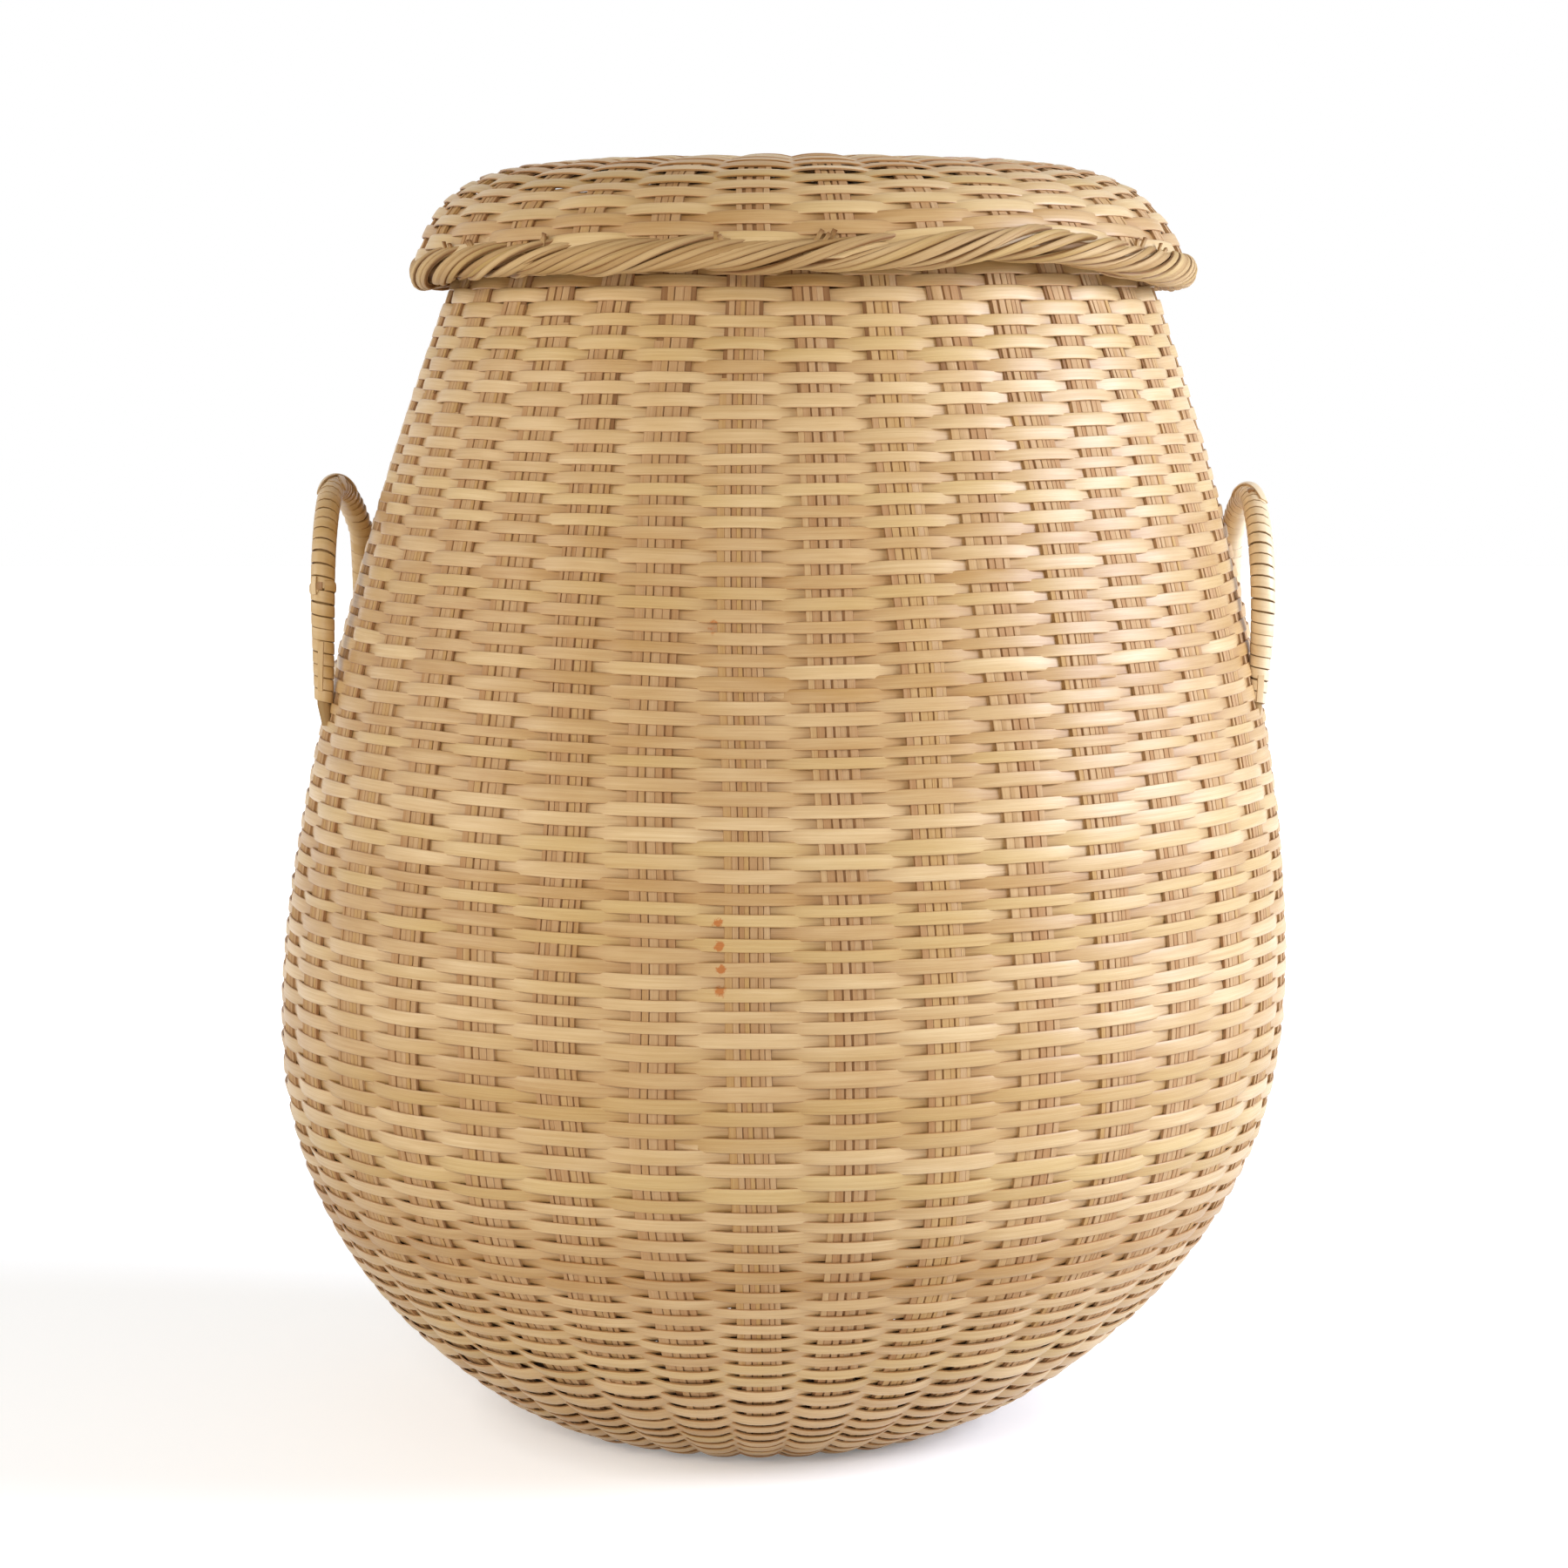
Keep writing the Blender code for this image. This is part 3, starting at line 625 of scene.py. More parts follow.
def cane_lengths(total, stakes, rng):
    """Where each cane of a weave begins and ends, counted in stakes, and its share of width."""
    canes, begun = [], 0.0
    while begun < total:
        ended = begun + 2.0 * round(rng.uniform(*CANE_TURNS) * stakes / 2.0)
        if total - ended < stakes / 2.0:
            ended = total
        canes.append((begun, ended, rng.uniform(*CANE_WIDTHS)))
        begun = ended
    return canes


def pushed(width, stakes):
    """How far each crossing of a spiral is pushed on by wide rows before it, in rows."""
    extra = np.zeros(-(-len(width) // stakes) * stakes)
    extra[: len(width)] = width - 1.0
    extra = extra.reshape(-1, stakes)
    push = np.cumsum(extra[0]) / stakes + np.cumsum(extra, axis=0) - (extra + extra[0]) / 2.0
    share = (np.arange(push.size) / push.size).reshape(push.shape)
    return (push - share * push[-4:].mean(axis=0)).ravel()[: len(width)]


def weave(shell, start, end, pitches, rng, drift, fullness, bowl_wave=0.0):
    """Lays a shell's weavers as one spiral of canes, end to end, from one run to another.
    A row lies as far from the next as both their widths ask."""
    samples = np.linspace(start, end, SPIRAL_SAMPLES)
    pitch = np.interp(samples, *pitches)
    turns = np.concatenate([[0.0], np.cumsum(np.diff(samples) * 2.0 / (pitch[1:] + pitch[:-1]))])
    total = turns[-1] * shell.stakes
    lengths = cane_lengths(total, shell.stakes, rng)
    whole = np.arange(int(total) + 2)
    share = np.ones(len(whole))
    for begun, ended, wide in lengths:
        share[(whole >= begun) & (whole <= ended)] = wide
    at_crossing = np.interp(whole / shell.stakes, turns, samples)
    push = pushed(share, shell.stakes) * np.interp(at_crossing, *pitches)
    push += rng.normal(0.0, ROW_UNEVENNESS, len(whole))
    share *= 1.0 + rng.normal(0.0, WIDTH_UNEVENNESS, len(whole))
    height = rng.normal(0.0, WAVE_UNEVENNESS, len(whole))
    tilt = rng.normal(0.0, TILT_UNEVENNESS, len(whole))
    canes = []
    for number, (begun, ended, _) in enumerate(lengths):
        low = max(begun - JOIN_LAP, 0.0)
        high = min(ended + JOIN_LAP, total)
        count = np.linspace(low, high, int((high - low) * STEPS_PER_STAKE) + 1)
        run = np.interp(count / shell.stakes, turns, samples)
        local_pitch = np.interp(run, *pitches)
        angle = shell.stake_angle(count - 1.0, run)
        run = run + drift(angle, run) + np.interp(count, whole, push)
        over = wave(count - 1.0)
        room = np.minimum(1.0, shell.radius(run) * tau / shell.stakes / FULL_WAVE_SPACING)
        deeper = bowl_wave * np.interp(run, BOWL_WAVE_RUNS, (0.0, 1.0, 1.0, 0.0))
        bulge = deeper * (BOWL_FLOAT * np.maximum(over, 0.0) - BOWL_SINK)
        out = WAVE_HEIGHT * (room * over * (1.0 + np.interp(count, whole, height)) + bulge)
        sink = np.clip(1.0 - (count - low) / JOIN_SLOPE, 0.0, 1.0) * (begun > 0.0)
        out = out - JOIN_SINK * sink
        width = np.minimum(local_pitch * fullness, WEAVER_WIDEST) * (1.0 + BOWL_WIDENING * deeper)
        width = width * np.interp(count, whole, share)
        roll = (np.interp(count, whole, tilt) + rng.normal(0.0, ROLL_UNEVENNESS))[:, None]
        normal = shell.turned(run, angle, shell.normal)
        across = shell.turned(run, angle, shell.way)
        # Painted shade on the weaver, deepest where it passes under a stake
        canes.append(
            Strand(
                shell.place(run, angle, out),
                np.cos(roll) * normal + np.sin(roll) * across,
                np.cos(roll) * across - np.sin(roll) * normal,
                width, WEAVER_THICKNESS, WEAVER_SECTION, WEAVER_CROWN * rng.uniform(*CROWN_SHARES),
                tone=rng.uniform(0.0, 1.0), warmth=rng.uniform(0.0, 1.0),
                level=1.0 - UNDER_SHADE * (0.5 - 0.5 * over) ** 2.0, number=number * GRAIN_STEP,
            )
        )
        canes[-1].run = float(run.mean())
    return canes


def splints(shell, number, rng, drift, lowest, highest, widest, counts, slits):
    """The splints of one stake, side by side on a strip that shows between them, in the deep
    colour and partly in painted shade, for the shade in their gaps. The outer ones start where there
    is room."""
    whole_run = np.linspace(lowest, highest, int((highest - lowest) / SPLINT_STEP) + 1)
    whole_room = BUNDLE_SHARE * shell.radius(whole_run) * tau / shell.stakes
    angle = shell.stake_angle(number, whole_run)
    aside = drift(number, whole_run) / shell.radius(whole_run)
    made = [
        Strand(
            shell.place(whole_run, angle + aside, -BACKING_DEPTH),
            shell.turned(whole_run, angle, shell.normal), sideways(angle),
            np.minimum(widest, whole_room) * BACKING_SHARE, SPLINT_THICKNESS / 2.0, SPLINT_SECTION,
            tone=1.0, warmth=0.0, level=BACKING_PAINTED_LIGHT, number=rng.uniform(0.0, GRAIN_STRETCH),
        )
    ]
    pieces = rng.integers(counts[0], counts[1] + 1)
    widths = rng.uniform(*SPLINT_WIDTHS, pieces)
    gaps = rng.choice(slits, pieces, p=GAP_ODDS)
    widths *= (widest - gaps[1:].sum()) / widths.sum()
    left = -widest / 2.0
    for width, gap in zip(widths, gaps):
        offset = left + width / 2.0
        left += width + gap
        room = whole_room / 2.0
        fits = np.flatnonzero(room > abs(offset) + SPLINT_FIT * width)
        fitting = slice(fits[0], fits[-1] + 1)
        run, room = whole_run[fitting], room[fitting]
        slide = drift(number, run) + rng.normal(0.0, SPLINT_ASIDE)
        narrow = np.clip(room / (abs(offset) + 0.5 * width), SPLINT_NARROWEST, 1.0)
        angle = shell.stake_angle(number, run) + (offset * narrow + slide) / shell.radius(run)
        made.append(
            Strand(
                shell.place(run, angle, rng.normal(0.0, SPLINT_STANDOUT)),
                shell.turned(run, angle, shell.normal), sideways(angle),
                width * narrow, SPLINT_THICKNESS, SPLINT_SECTION, **by_chance(rng),
            )
        )
    return made


def crossing(middle, reach, strips, rise, shown, rng):
    """Strips laid over and under each other both ways, where the stakes cross in the middle.
    Their faces are shown upwards (1) or downwards (-1)."""
    made = []
    step = 2.0 * reach / strips
    for way in range(2):
        for number in range(strips):
            aside = (number + 0.5) * step - reach
            shortest = CROSSING_SHORTEST * reach * reach
            length = sqrt(max(reach * reach * CROSSING_ROUNDNESS - aside * aside, shortest))
            along = np.linspace(-length, length, CROSSING_STEPS * strips)
            over = np.cos(pi * ((along + reach) / step - 0.5 + number + way))
            axes = (along, aside + 0.0 * along) if way == 0 else (aside + 0.0 * along, along)
            line = np.stack([*axes, rise * over], axis=-1) + np.array(middle)
            across = np.zeros(line.shape)
            across[:, 1 - way] = 1.0
            up = np.broadcast_to((0.0, 0.0, shown), line.shape)
            width = step * rng.uniform(*CROSSING_WIDTHS)
            made.append(
                Strand(line, up, across, width, SPLINT_THICKNESS, WEAVER_SECTION, **by_chance(rng))
            )
    return made


def border(radius, middle, thick, groups, turns, splint_width, rng, warped=False):
    """The strands of a rolled border: each group of splints winds round its ring and tucks in."""
    made = []
    lay = thick * turns / radius
    slant = 1.0 / sqrt(1.0 + lay * lay)
    share = np.linspace(0.0, 1.0, STRAND_STATIONS)
    tuck = 1.0 - np.sqrt(np.clip(np.minimum(share, 1.0 - share) / TUCK_SHARE, 0.0, 1.0))
    for group in range(groups):
        start = tau * group / groups + rng.normal(0.0, GROUP_ASIDE)
        standout = rng.normal(0.0, GROUP_STANDOUT)
        for splint in range(GROUP_STRANDS):
            aside = splint - GROUP_STRANDS // 2 + rng.normal(0.0, STRAND_ASIDE)
            offset = aside * splint_width * STRAND_SPACING
            ahead = tau / turns * rng.uniform(*STRAND_SPANS) * share
            around = start + ahead + offset * lay * slant / radius
            ring = thick - TUCK_DEPTH * tuck + standout - GROUP_CROWN * (aside / 2.0) ** 2
            ring = ring + rng.normal(0.0, STRAND_STANDOUT)
            turn = turns * ahead - STRAND_START - offset * slant / thick
            turn = turn + rng.normal(0.0, STRAND_SWERVE) * share
            out = np.cos(turn)[:, None] * facing(around)
            out[:, 2] = np.sin(turn)
            centre = radius * facing(around)
            if warped:
                centre[:, 2] = rim_rise(around)
            line = centre + out * ring[:, None] + np.array(middle)
            across = unit(np.cross(unit(np.gradient(line, axis=0)), out))
            width = splint_width * rng.uniform(*STRAND_WIDTHS)
            made.append(
                Strand(line, out, across, width, STRAND_THICKNESS, STRAND_SECTION, **by_chance(rng))
            )
    return made


def cut_ends(radius, middle, thick, spots, rng):
    """Short ends of splints that stand out of a warped border, at (angle, how many) spots."""
    made = []
    up = np.array((0.0, 0.0, 1.0))
    for spot, many in spots:
        for number in range(many):
            around = radians(spot) + (number - 0.5 * many) * CUT_SPACING / radius
            turn = rng.uniform(*CUT_TURNS)
            out = facing(around)
            face = cos(turn) * out + sin(turn) * up
            start = radius * out + (thick - CUT_SINK) * face + np.array(middle) + rim_rise(around) * up
            lay = unit(rng.uniform(*CUT_SLANTS) * sideways(around) + CUT_RISE * up + CUT_LIFT * out)
            steps = np.linspace(0.0, rng.uniform(*CUT_LENGTHS), len(CUT_LEVELS))
            line = start + steps[:, None] * lay
            made.append(
                Strand(
                    line, np.broadcast_to(out, line.shape),
                    np.broadcast_to(unit(np.cross(lay, out)), line.shape),
                    rng.uniform(*CUT_WIDTHS), CUT_THICKNESS, SPLINT_SECTION,
                    tone=rng.uniform(*CUT_TONES), warmth=rng.uniform(0.0, 1.0),
                    level=np.array(CUT_LEVELS), number=rng.uniform(0.0, GRAIN_STRETCH),
                )
            )
    return made


def filling(radius, middle, thick, warped=False):
    """The stakes' ends that lie inside a rolled border, as one ring, in the deep colour and partly in
    painted shade.
    """
    around = np.linspace(0.0, tau, FILLING_STATIONS)
    line = radius * facing(around) + np.array(middle)
    if warped:
        line[:, 2] += rim_rise(around)
    up = np.broadcast_to((0.0, 0.0, 1.0), line.shape)
    across = FILLING_SHARE * thick
    return Strand(
        line, facing(around), up, across, across, ROUND_SECTION,
        tone=1.0, warmth=0.0, level=FILLING_PAINTED_LIGHT,
    )


def handle_plane(side):
    """X of the upright plane that a hoop stands in."""
    radius = wall_radius(HANDLE_FOOT)
    reach = HANDLE_SPREAD / 2.0
    return side * sqrt(radius * radius - reach * reach) + sway(HANDLE_FOOT) + side * HANDLE_STANDOFF


def hoop(side, start, samples):
    """A hoop's middle line from leg to leg above a height, evenly spaced, with its frame."""
    reach = HANDLE_SPREAD / 2.0
    top = HANDLE_TOP if side == LEFT else RIGHT_HANDLE_TOP
    middle = top - BINDING_OUTSIDE - reach
    leg = middle - start
    length = 2.0 * leg + pi * reach
    along = np.linspace(0.0, length, samples)
    turn = np.clip((along - leg) / reach, 0.0, pi)
    below = np.where(along < leg, leg - along, np.maximum(0.0, along - leg - pi * reach))
    height = middle + reach * np.sin(turn) - below
    forwards = -reach * np.cos(turn)
    drop = np.clip((top - height) / (top - HANDLE_FOOT), 0.0, 1.0)
    wall = np.array([wall_radius(each) for each in height])
    clear = handle_plane(side) - side * (np.sqrt(wall * wall - forwards * forwards) + BINDING_OUTSIDE)
    clear = side * (clear - sway(height))
    back = np.clip((forwards / reach + 0.3) / 1.1, 0.0, 1.0)
    if side == LEFT:
        inwards = np.minimum(LEFT_LEAN * back * back, np.maximum(clear, 0.0))
    else:
        bow = (2.0 * drop - 1.0) ** 2 * np.where(drop > 0.5, 1.0, RIGHT_BOW_ABOVE)
        inwards = RIGHT_INSET + RIGHT_BOW * bow
        inwards = inwards + np.minimum(RIGHT_LEAN * back * back, np.maximum(clear - inwards, 0.0))
    line = np.stack([handle_plane(side) - side * inwards, forwards, height], axis=-1)
    tangent = np.stack([0.0 * turn, np.sin(turn), np.cos(turn)], axis=-1)
    slimming = np.clip((drop - SLIM_START) / (1.0 - SLIM_START), 0.0, 1.0) ** SLIM_EASE
    return line, tangent, length, 1.0 - (1.0 - FOOT_SLIMNESS) * slimming


def around_hoop(tangent, turn):
    """Directions out of a hoop's middle line, from the inside of its loop by way of +X."""
    aside = np.array((1.0, 0.0, 0.0))
    return np.cos(turn)[:, None] * np.cross(tangent, aside) + np.sin(turn)[:, None] * aside


def binding(side, turns, rng):
    """A flat strip wound round a hoop from leg to leg."""
    samples = turns * TURN_STATIONS
    line, tangent, length, slim = hoop(side, BINDING_FOOT, samples)
    turn = np.linspace(0.0, tau * turns, samples)
    out = around_hoop(tangent, turn)
    strays = rng.normal(0.0, BINDING_WANDER, turns + 1)
    wander = np.interp(turn / tau, np.arange(turns + 1), strays)
    middle = slim * (BINDING_OUTSIDE - STRIP_THICKNESS / 2.0)
    return Strand(
        line + tangent * wander[:, None] + out * middle[:, None], out, tangent,
        length / turns - BINDING_SLIT, STRIP_THICKNESS, WEAVER_SECTION, BINDING_CROWN,
        # Painted shade on the left handle's binding, painted light on the right's
        tone=BINDING_PAINTED_SHADE - BINDING_PAINTED_SHADE * side, warmth=BINDING_WARMTH, number=side,
    )


def laid_on(side, shares, outs, lift, width, tone, level, rng):
    """A short strip laid on a bound hoop through places given as a share of the hoop's length
    and the angle round it, from the inside of the loop (0) by way of +X to its outside (180)."""
    line, tangent, _, slim = hoop(side, BINDING_FOOT, HOOP_SAMPLES)
    steps = np.linspace(0.0, 1.0, LAID_STATIONS)
    share = np.interp(steps, np.linspace(0.0, 1.0, len(shares)), shares)
    turn = np.interp(steps, np.linspace(0.0, 1.0, len(outs)), np.radians(outs))
    spot = np.linspace(0.0, 1.0, HOOP_SAMPLES)
    places = np.stack([np.interp(share, spot, line[:, i]) for i in range(3)], axis=-1)
    along = np.stack([np.interp(share, spot, tangent[:, i]) for i in range(3)], axis=-1)
    out = around_hoop(along, turn)
    arch = np.sqrt(np.clip(np.sin(pi * (0.06 + 0.88 * steps)), 0.0, 1.0))
    high = BINDING_OUTSIDE * np.interp(share, spot, slim) + lift * arch
    path = places + out * high[:, None]
    across = unit(np.cross(unit(np.gradient(path, axis=0)), out))
    return Strand(
        path, out, across, width, STRIP_THICKNESS, WEAVER_SECTION, LAID_CROWN,
        tone=tone, warmth=0.4, level=level, number=rng.uniform(0.0, GRAIN_STRETCH),
    )


def core(side):
    """The bent cane inside a handle, its tails running down into the weave."""
    line, _, _, slim = hoop(side, HANDLE_FOOT, CORE_STATIONS)
    reach = HANDLE_SPREAD / 2.0
    share = np.linspace(0.0, 1.0, TAIL_STATIONS, endpoint=False)
    heights = np.linspace(TAIL_FOOT, HANDLE_FOOT, TAIL_STATIONS, endpoint=False)[::-1]
    tails = []
    # The front tail's heights also run downwards, so it folds back on itself in the weave
    for end, parts in ((line[0], share), (line[-1], share[::-1])):
        for part, height in zip(parts, heights):
            radius = wall_radius(height)
            x = side * sqrt(radius * radius - reach * reach) + sway(height) - side * TAIL_INSET
            tails.append((x + (end[0] - x) * part**3, end[1], height))
    points = np.concatenate([tails[:TAIL_STATIONS], line, tails[TAIL_STATIONS:]])
    aside = np.broadcast_to((1.0, 0.0, 0.0), points.shape)
    square = np.cross(unit(np.gradient(points, axis=0)), aside)
    foot = TAIL_TIP + TAIL_SWELL * share
    across = 2.0 * CORE_RADIUS * np.concatenate([foot, slim, foot[::-1]])
    return Strand(points, square, aside, across, across, ROUND_SECTION, tone=0.5, warmth=0.5)


def node(tree, kind, **settings):
    made = tree.nodes.new(kind)
    for name, value in settings.items():
        setattr(made, name, value)
    return made


def plug(tree, socket, value):
    """Links an output to a socket, or sets the socket's own value."""
    if isinstance(value, bpy.types.NodeSocket):
        tree.links.new(value, socket)
    else:
        socket.default_value = value


def feed(tree, made, values):
    """Plugs values into a node's inputs, which are given by name or by number."""
    for which, value in values.items():
        plug(tree, made.inputs[which], value)
    return made.outputs


def reckon(tree, operation, *values):
    made = node(tree, "ShaderNodeMath", operation=operation)
    return feed(tree, made, dict(enumerate(values)))[0]


def blend(tree, share, first, second, mode="MIX"):
    made = node(tree, "ShaderNodeMix", data_type="RGBA", blend_type=mode)
    return feed(tree, made, {"Factor": share, 6: first, 7: second})[2]


def weighted(tree, *parts):
    """The sum of values, each times its weight."""
    total = None
    for value, weight in parts:
        part = reckon(tree, "MULTIPLY", value, weight)
        total = part if total is None else reckon(tree, "ADD", total, part)
    return total


def swing(tree, value, amount):
    """A value's swing about one half, times an amount."""
    return reckon(tree, "MULTIPLY", reckon(tree, "SUBTRACT", value, 0.5), amount)


def span(tree, value, low, high, to_low=0.0, to_high=1.0):
    made = node(tree, "ShaderNodeMapRange")
    ends = {"From Min": low, "From Max": high, "To Min": to_low, "To Max": to_high}
    return feed(tree, made, {"Value": value, **ends})["Result"]


def noise(tree, vector, scale, detail=2.0, roughness=0.5):
    made = node(tree, "ShaderNodeTexNoise")
    values = {"Vector": vector, "Scale": scale, "Detail": detail, "Roughness": roughness}
    return feed(tree, made, values)["Fac"]


def stretched(tree, vector, scales):
    made = node(tree, "ShaderNodeVectorMath", operation="MULTIPLY")
    return feed(tree, made, {0: vector, 1: scales})["Vector"]


def new_group(name, inputs, outputs):
    """A node group with its inputs and outputs, which are given as a kind of socket by name."""
    group = bpy.data.node_groups.new(name, "ShaderNodeTree")
    for way, sockets in (("INPUT", inputs), ("OUTPUT", outputs)):
        for word, kind in sockets.items():
            group.interface.new_socket(name=word, in_out=way, socket_type=f"NodeSocket{kind}")
    return group, node(group, "NodeGroupInput").outputs, node(group, "NodeGroupOutput").inputs


def fibre_group():
    """Fine lines that run the length of a cane, and slow blotches along it."""
    inputs = {"Way": "Vector", "Coarseness": "Float"}
    group, given, wanted = new_group("cane_fibres", inputs, {"Lines": "Float", "Blotches": "Float"})
    fine = noise(group, stretched(group, given["Way"], FINE_FIBRES), 1.0, 3.0, 0.6)
    broad = noise(group, stretched(group, given["Way"], BROAD_FIBRES), 1.0, 1.0)
    both = weighted(group, (fine, FINE_SHARE), (broad, BROAD_SHARE))
    lines = swing(group, both, given["Coarseness"])
    plug(group, wanted["Lines"], reckon(group, "ADD", lines, 0.5))
    blotches = noise(group, stretched(group, given["Way"], BLOTCHES), 1.0, 3.0)
    plug(group, wanted["Blotches"], blotches)
    return group


def tint_group():
    """A cane's colour from its tone and warmth, its blotches, and painted shade on its sides and where
    it lies deep.
    """
    inputs = {
        "Kind": "Vector", "Lines": "Float", "Blotches": "Float",
        "Pale": "Color", "Deep": "Color", "Yellow": "Color", "Painted_shade": "Color",
        "Contrast": "Float", "Stain": "Float",
    }
    group, given, wanted = new_group("cane_tint", inputs, {"Color": "Color"})
    parts = node(group, "ShaderNodeSeparateXYZ")
    tone, warmth, shown = feed(group, parts, {0: given["Kind"]})
    tone = weighted(group, (tone, TONE_SHARE), (given["Blotches"], TONE_BLOTCHES))
    colour = blend(group, span(group, tone, *TONE_SPAN), given["Pale"], given["Deep"])
    warmth = weighted(group, (warmth, 1.0), (given["Blotches"], WARMTH_BLOTCHES))
    colour = blend(group, span(group, warmth, *WARMTH_SPAN), colour, given["Yellow"])
    # Painted shade: the cane's level of light, the third part of Kind, brings in the shade colour
    painted_shade = span(group, shown, 1.0, 0.0, 0.0, PAINTED_SHADE_MOST)
    colour = blend(group, painted_shade, colour, given["Painted_shade"])
    colour = blend(group, given["Stain"], colour, STAIN_COLOUR)
    groove = reckon(group, "SUBTRACT", 1.0, span(group, given["Lines"], *GROOVE_SPAN))
    grooved = blend(group, 1.0, colour, GROOVE_TINT, "MULTIPLY")
    strength = reckon(group, "MULTIPLY", groove, given["Contrast"])
    plug(group, wanted["Color"], blend(group, strength, colour, grooved))
    return group


def stain_group():
    """Small rust-brown marks where the cane has been wet: a column on the belly and one above."""
    group, given, wanted = new_group("cane_stains", {"Place": "Vector"}, {"Mask": "Float"})
    ragged = swing(group, noise(group, given["Place"], STAIN_GRAIN, 3.0, 0.7), STAIN_RAGGEDNESS)
    mask = 0.0
    for place, size in STAINS:
        away = node(group, "ShaderNodeVectorMath", operation="DISTANCE")
        distance = feed(group, away, {0: given["Place"], 1: place})["Value"]
        reach = reckon(group, "ADD", distance, ragged)
        mask = reckon(group, "MAXIMUM", mask, span(group, reach, size, STAIN_EDGE * size))
    plug(group, wanted["Mask"], mask)
    return group


def cane_finish(groups, name, contrast, coarseness, roughness, bump, coat=0.0, **colours):
    """A dry cane finish whose grain follows each strand."""
    finish = bpy.data.materials.new(name)
    finish.use_nodes = True
    tree = finish.node_tree
    shader = tree.nodes["Principled BSDF"]
    way = node(tree, "ShaderNodeAttribute", attribute_name="cane_way").outputs["Vector"]
    kind = node(tree, "ShaderNodeAttribute", attribute_name="cane_kind").outputs["Vector"]
    fibres = node(tree, "ShaderNodeGroup", node_tree=groups["fibres"])
    lines, blotches = feed(tree, fibres, {"Way": way, "Coarseness": coarseness})
    tint = node(tree, "ShaderNodeGroup", node_tree=groups["tint"])
    feed(tree, tint, {word.capitalize(): (*colour, 1.0) for word, colour in colours.items()})
    stains = node(tree, "ShaderNodeGroup", node_tree=groups["stains"])
    place = node(tree, "ShaderNodeTexCoord").outputs["Object"]
    mask = feed(tree, stains, {"Place": place})["Mask"]
    values = {"Kind": kind, "Lines": lines, "Blotches": blotches, "Contrast": contrast, "Stain": mask}
    colour = feed(tree, tint, values)["Color"]
    ends = (roughness + GROOVE_DULLNESS, roughness - RIDGE_SHINE)
    dullness = span(tree, lines, 0.0, 1.0, *ends)
    relief = node(tree, "ShaderNodeBump")
    values = {"Strength": bump, "Distance": RELIEF_DEPTH, "Height": lines}
    normal = feed(tree, relief, values)["Normal"]
    values = {
        "Specular IOR Level": SPECULAR, "Coat Weight": coat, "Coat Roughness": COAT_ROUGHNESS,
        "Base Color": colour, "Roughness": dullness, "Normal": normal,
    }
    feed(tree, shader, values)
    return finish


def finishes():
    groups = {"fibres": fibre_group(), "tint": tint_group(), "stains": stain_group()}
    return {word: cane_finish(groups, **values) for word, values in FINISHES.items()}


def add_basket(paint, rng):
    shell = basket_shell()
    drift = Drift(rng, size=0.00022, waves=8, around=6, along=0.12)
    wall = shell.length
    pitches = (
        (0.0, 0.02, 0.09, 0.2, wall - 0.16, wall - 0.055, wall - 0.03, wall),
        (0.0034, 0.0042, 0.0045, 0.00435, 0.0042, 0.0042, 0.0050, 0.0052),
    )
    canes = weave(shell, 0.003, wall - 0.001, pitches, rng, drift, WEAVER_SHARE, BOWL_WAVE)
    for word, low, high in WEAVER_BANDS:
        chosen = [cane for cane in canes if low <= cane.run < high]
        skin(f"weavers_{word}", chosen, paint["weaver"], "basket", "weaver_cane", "woven_wall")
    wander = Drift(rng, size=0.0005, waves=6, around=40, along=0.12)
    for number in range(STAKES):
        strands = splints(shell, number, rng, wander, SPLINT_INSET, wall, *BUNDLE)
        name = f"stake_{number + 1:02d}"
        skin(f"{name}_splints", strands, paint["splint"], "basket", "stake_splint", name)
    middle = (sway(0.0), 0.0, CROSS_LEVEL)
    reach = CROSS_RADIUS + CROSSING_LAP
    strands = crossing(middle, reach, strips=8, rise=0.0009, shown=-1.0, rng=rng)
    skin("base_crossing", strands, paint["splint"], "basket", "stake_splint", "base_cross")


def add_lid(paint, rng, level):
    shell = lid_shell(level)
    drift = Drift(rng, size=0.0005, waves=8, around=8, along=0.07)
    pitches = ((0.0, 0.05, shell.length), (0.0045, 0.0046, 0.0044))
    canes = weave(shell, 0.0, shell.length - 0.002, pitches, rng, drift, LID_WEAVER_SHARE)
    skin("lid_weavers", canes, paint["weaver"], "lid", "weaver_cane", "lid_wall")
    wander = Drift(rng, size=0.0005, waves=6, around=40, along=0.12)
    strands = []
    ends = (LID_SPLINT_INSET, shell.length - SPLINT_INSET)
    for number in range(LID_STAKES):
        strands += splints(shell, number, rng, wander, *ends, *LID_BUNDLE)
    crown = (sway(WALL_HEIGHT) - CROWN_SHIFT, 0.0, level + LID_RISE - WEAVE_DEPTH)
    reach = LID_CROSS_RADIUS + LID_CROSSING_LAP
    strands += crossing(crown, reach, strips=5, rise=0.0007, shown=1.0, rng=rng)
    skin("lid_splints", strands, paint["splint"], "lid", "stake_splint", "lid_stakes")


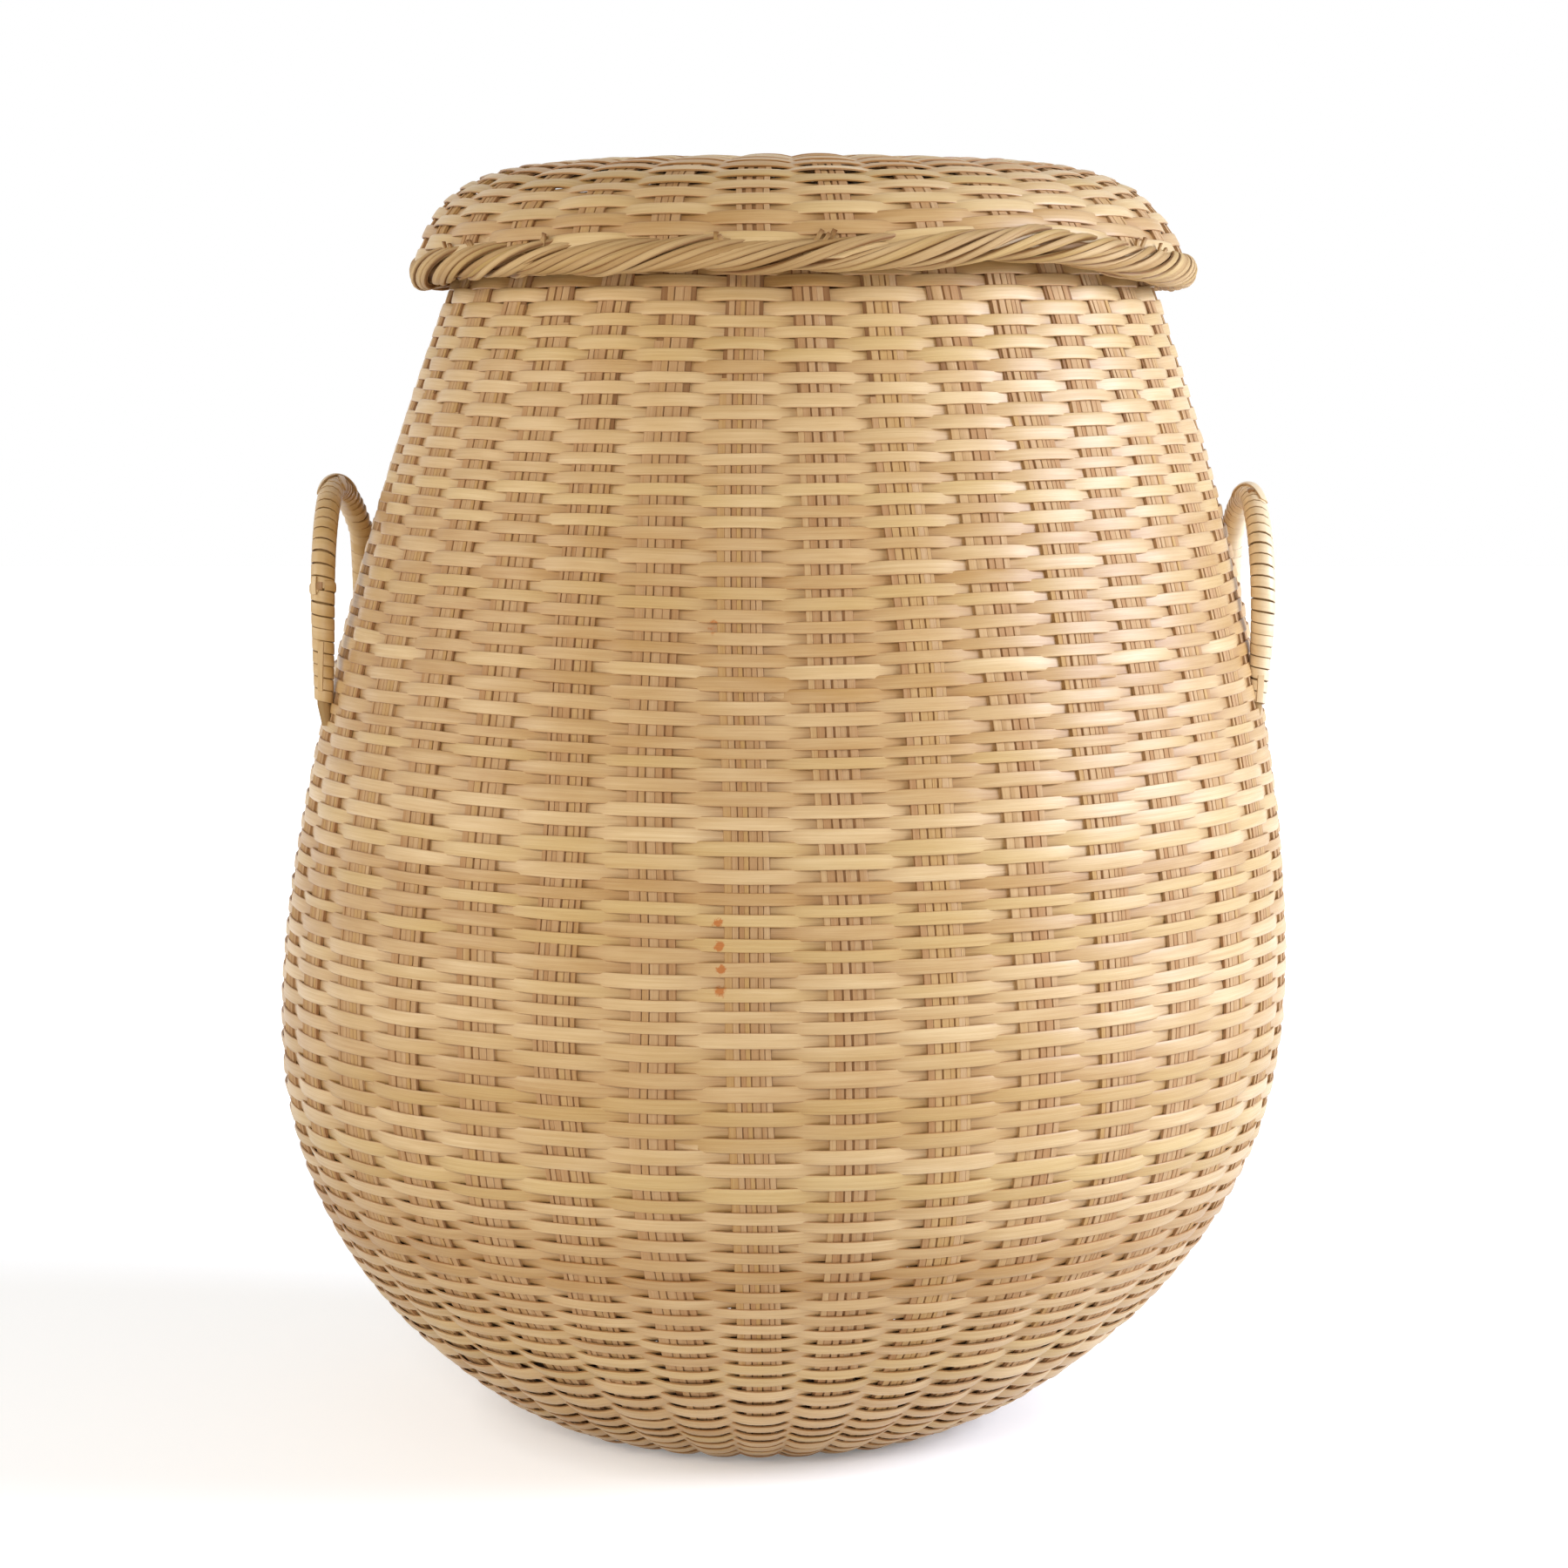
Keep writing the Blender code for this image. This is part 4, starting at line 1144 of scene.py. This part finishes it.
def add_borders(paint, rng, level):
    middle = sway(WALL_HEIGHT)
    ring = lid_radius(LID_EDGE) - LID_THICKNESS / 2.0
    centre = (middle, 0.0, level + LID_EDGE - GAP - LID_BORDER_RADIUS)
    strands = border(
        ring, centre, LID_BORDER_RADIUS, LID_STAKES,
        LID_BORDER_WINDS, LID_STRAND_WIDTH, rng, warped=True,
    )
    strands.append(filling(ring, centre, LID_BORDER_RADIUS, warped=True))
    strands += cut_ends(ring, centre, LID_BORDER_RADIUS, CUT_ENDS, np.random.default_rng(SEED + 1))
    skin("lid_border_strands", strands, paint["border"], "lid", "border_cane", "lid_border")
    ring = MOUTH_RADIUS - WALL_THICKNESS / 2.0
    centre = (middle, 0.0, WALL_HEIGHT + GAP + MOUTH_BORDER_RADIUS)
    strands = border(
        ring, centre, MOUTH_BORDER_RADIUS, STAKES, MOUTH_BORDER_WINDS, MOUTH_STRAND_WIDTH, rng
    )
    strands.append(filling(ring, centre, MOUTH_BORDER_RADIUS))
    skin("mouth_border_strands", strands, paint["border"], "basket", "border_cane", "mouth_border")


def add_handles(paint, rng):
    extras = {
        word: [laid_on(side, *spots, rng) for spots in LAID_STRIPS[word]]
        for word, side, _ in BINDING_TURNS
    }
    for word, side, turns in BINDING_TURNS:
        cane, node_name = [core(side)], f"{word}_handle_core"
        skin(f"{word}_handle_cane", cane, paint["core"], "basket", "handle_core", node_name)
        strips, node_name = [binding(side, turns, rng), *extras[word]], f"{word}_handle_binding"
        skin(f"{word}_handle_strip", strips, paint["strip"], "basket", "handle_strip", node_name)
    tie = [laid_on(LEFT, *spots, rng) for spots in LAID_STRIPS["tie"]]
    skin("left_handle_band", tie, paint["strip"], "basket", "handle_strip", "left_handle_tie")


def add_camera():
    lens = bpy.data.cameras.new("camera")
    lens.lens = LENS
    lens.sensor_width = SENSOR
    lens.clip_start, lens.clip_end = 0.05, 50.0
    camera = bpy.data.objects.new("camera", lens)
    camera.location = (0.0, -CAMERA_BACK, CAMERA_HEIGHT)
    camera.rotation_euler = (pi / 2.0 - CAMERA_DIP, 0.0, 0.0)
    bpy.context.scene.collection.objects.link(camera)
    bpy.context.scene.camera = camera


def add_lamp(name, place, target, size, power, colour):
    data = bpy.data.lights.new(name, "AREA")
    data.shape = "DISK"
    data.size = size
    data.energy = power
    data.color = colour
    lamp = bpy.data.objects.new(name, data)
    lamp.location = place
    aim = Vector(target) - Vector(place)
    lamp.rotation_euler = aim.to_track_quat("-Z", "Y").to_euler()
    bpy.context.scene.collection.objects.link(lamp)


def sees_backdrop(tree):
    """1 for the rays that are to find a white room: the camera's, and those of metal and glass."""
    path = node(tree, "ShaderNodeLightPath").outputs
    shown = reckon(tree, "MAXIMUM", path["Is Camera Ray"], path["Is Glossy Ray"])
    return reckon(tree, "MAXIMUM", shown, path["Is Transmission Ray"])


def add_floor():
    bm = bmesh.new()
    bmesh.ops.create_grid(bm, x_segments=1, y_segments=1, size=FLOOR_HALF)
    mesh = bpy.data.meshes.new("floor")
    bm.to_mesh(mesh)
    bm.free()
    finish = bpy.data.materials.new("white_floor")
    finish.use_nodes = True
    tree = finish.node_tree
    shader = tree.nodes["Principled BSDF"]
    away = node(tree, "ShaderNodeVectorMath", operation="LENGTH")
    distance = feed(tree, away, {0: node(tree, "ShaderNodeTexCoord").outputs["Object"]})["Value"]
    # Painted shadow: the glow is held back next to the basket's foot and rises over the first
    # distances
    near = span(tree, distance, *FLOOR_PAINTED_SHADOW, 0.0, FLOOR_GLOW)
    far = span(tree, distance, *FLOOR_FAR, 0.0, 1.0 - FLOOR_GLOW)
    glow = reckon(tree, "MULTIPLY", sees_backdrop(tree), reckon(tree, "ADD", near, far))
    values = {
        "Base Color": FLOOR_COLOUR, "Roughness": FLOOR_ROUGHNESS,
        "Emission Color": WHITE, "Emission Strength": glow,
    }
    feed(tree, shader, values)
    mesh.materials.append(finish)
    floor = bpy.data.objects.new("floor", mesh)
    bpy.context.scene.collection.objects.link(floor)


def add_surroundings():
    world = bpy.data.worlds.new("studio")
    world.use_nodes = True
    bpy.context.scene.world = world
    tree = world.node_tree
    tree.nodes.clear()
    room = node(tree, "ShaderNodeBackground")
    strength = span(tree, sees_backdrop(tree), 0.0, 1.0, ROOM_LIGHT, 1.0)
    light = feed(tree, room, {"Color": WHITE, "Strength": strength})[0]
    feed(tree, node(tree, "ShaderNodeOutputWorld"), {"Surface": light})
    for lamp in LAMPS:
        add_lamp(*lamp)


def main():
    for thing in list(bpy.data.objects):
        bpy.data.objects.remove(thing, do_unlink=True)
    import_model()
    bpy.context.scene.view_settings.view_transform = "Standard"
    rng = np.random.default_rng(SEED)
    low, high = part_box("lid_border")
    level = (low.z + high.z) / 2.0 - LID_EDGE + GAP + LID_BORDER_RADIUS
    paint = finishes()
    add_basket(paint, rng)
    add_lid(paint, rng, level)
    add_borders(paint, rng, level)
    add_handles(paint, rng)
    add_camera()
    add_floor()
    add_surroundings()


main()
